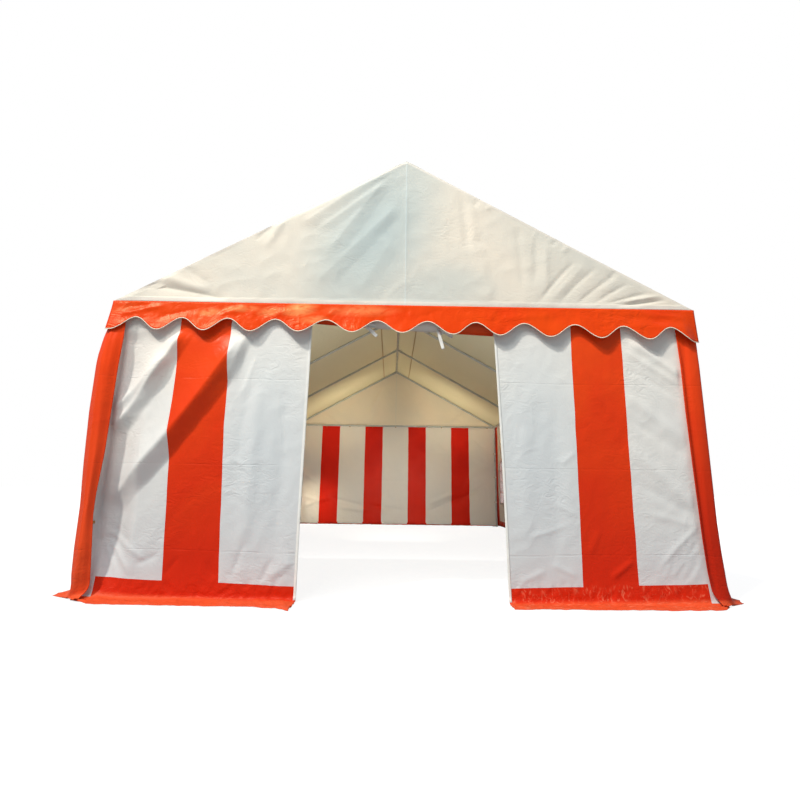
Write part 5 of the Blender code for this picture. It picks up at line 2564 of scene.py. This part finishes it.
def make_valances(sizes: TentSizes, finishes: Finishes) -> list:
    """Builds the four valances and their piping.

    Args:
        sizes: The tent's sizes.
        finishes: The materials.

    Returns:
        The pieces.
    """
    front = {"lows": FRONT_LOWS, "folds": VALANCE_FRONT_FOLDS, "end_droop": 0.022,
             "billow": 0.056, "extra_drop": 0.012}
    made = []
    for end in End:
        corners = [CORNER_BILLOWS[end, side] for side in Side]
        valance = Valance(sizes, f"valance_{end.word}", sizes.half_width,
                          sizes.half_length + LAP_GAP, False, end.value, CELL_VALANCE,
                          2.0 + end.value, **(front if end is End.FRONT else {}),
                          end_billows=tuple(corner[0] for corner in corners),
                          next_billows=tuple(corner[1] for corner in corners))
        finish = finishes.front_valance if end is End.FRONT else finishes.valance
        made += valance.build(finish, finishes.piping)
    for side in Side:
        corners = [CORNER_BILLOWS[end, side] for end in End]
        valance = Valance(sizes, f"valance_{side.word}", sizes.half_length,
                          sizes.half_width + LAP_GAP, True, side.value, CELL_SIDE_VALANCE,
                          22.0 + side.value, end_droop=SIDE_DROOPS[side], droop_power=12.0,
                          end_billows=tuple(corner[1] for corner in corners),
                          next_billows=tuple(corner[0] for corner in corners))
        made += valance.build(finishes.valance, finishes.piping)
    return made


def make_front_walls(sizes: TentSizes, finishes: Finishes) -> list:
    """Builds the two panels beside the doorway.

    Args:
        sizes: The tent's sizes.
        finishes: The materials.

    Returns:
        The pieces.
    """
    left = FrontWall(sizes, Side.LEFT, FRONT_LEFT_FOLDS,
                     ((0.1, 0.44, 1.05, 1.9), (-0.01, 0.008, 0.038, 0.045)),
                     ((0.64, 0.72, 0.9, 1.5, 1.84, 1.92, 2.0),
                      (0.25, 0.19, 0.15, 0.14, 0.12, 0.07, 0.03)),
                     ((0.0, 0.5, 1.9), (0.648, 0.648, 0.632)),
                     ((0.0, 0.12, 0.35, 0.7, 1.0, 1.3, 1.5, 1.8),
                      (0.0, 0.03, 0.088, 0.088, 0.056, 0.044, 0.034, 0.020)), 0.035)
    right = FrontWall(sizes, Side.RIGHT, FRONT_RIGHT_FOLDS,
                      ((0.1, 0.6, 1.2, 1.9), (-0.018, -0.012, -0.004, -0.002)),
                      ((0.64, 0.8, 1.5, 1.86, 1.94, 2.0), (0.15, 0.14, 0.135, 0.125, 0.09, 0.03)),
                      ((0.0, 0.85, 1.3, 1.9), (0.658, 0.640, 0.624, 0.602)))
    return [piece for panel in (left, right)
            for piece in panel.build(finishes.front, finishes.tape)]


def main() -> None:
    """Builds every part of the tent in order, and reports each piece."""
    logging.basicConfig(level=logging.INFO, format="%(name)s: %(message)s")
    Studio().build()
    sizes = TentSizes.read()
    finishes = Finishes()
    made = [RoofSheet(sizes).build(finishes.roof, finishes.shaded_lining)]
    made.append(GableSheet(sizes, End.FRONT, GABLE_FRONT_FOLDS).build(finishes.gable))
    made.append(GableSheet(sizes, End.REAR, GABLE_REAR_FOLDS).build(finishes.gable_rear))
    made += make_valances(sizes, finishes)
    made += make_front_walls(sizes, finishes)
    made.append(RearWall(sizes).build(finishes.rear))
    for side in Side:
        wall = SideWall(sizes, side, STRIP_EDGES[side], BULGES[side], CRESTS[side],
                        EDGE_LIFTS[side], *CORNER_SLACK[side])
        finish = finishes.side_left if side is Side.LEFT else finishes.side_right
        made += wall.build(finish, finishes.film, finishes.tape)
    made += RolledDoor(sizes).build(finishes.door, finishes.tape)
    made += Fastenings(sizes).build(finishes.tape, finishes.bead, finishes.steel)
    for name in SteelFrame().dress(finishes.steel):
        log.info("dressed %s", name)
    for piece in made:
        log.info("built %s with %d faces", piece.name, len(piece.data.polygons))


if __name__ == "__main__":
    main()
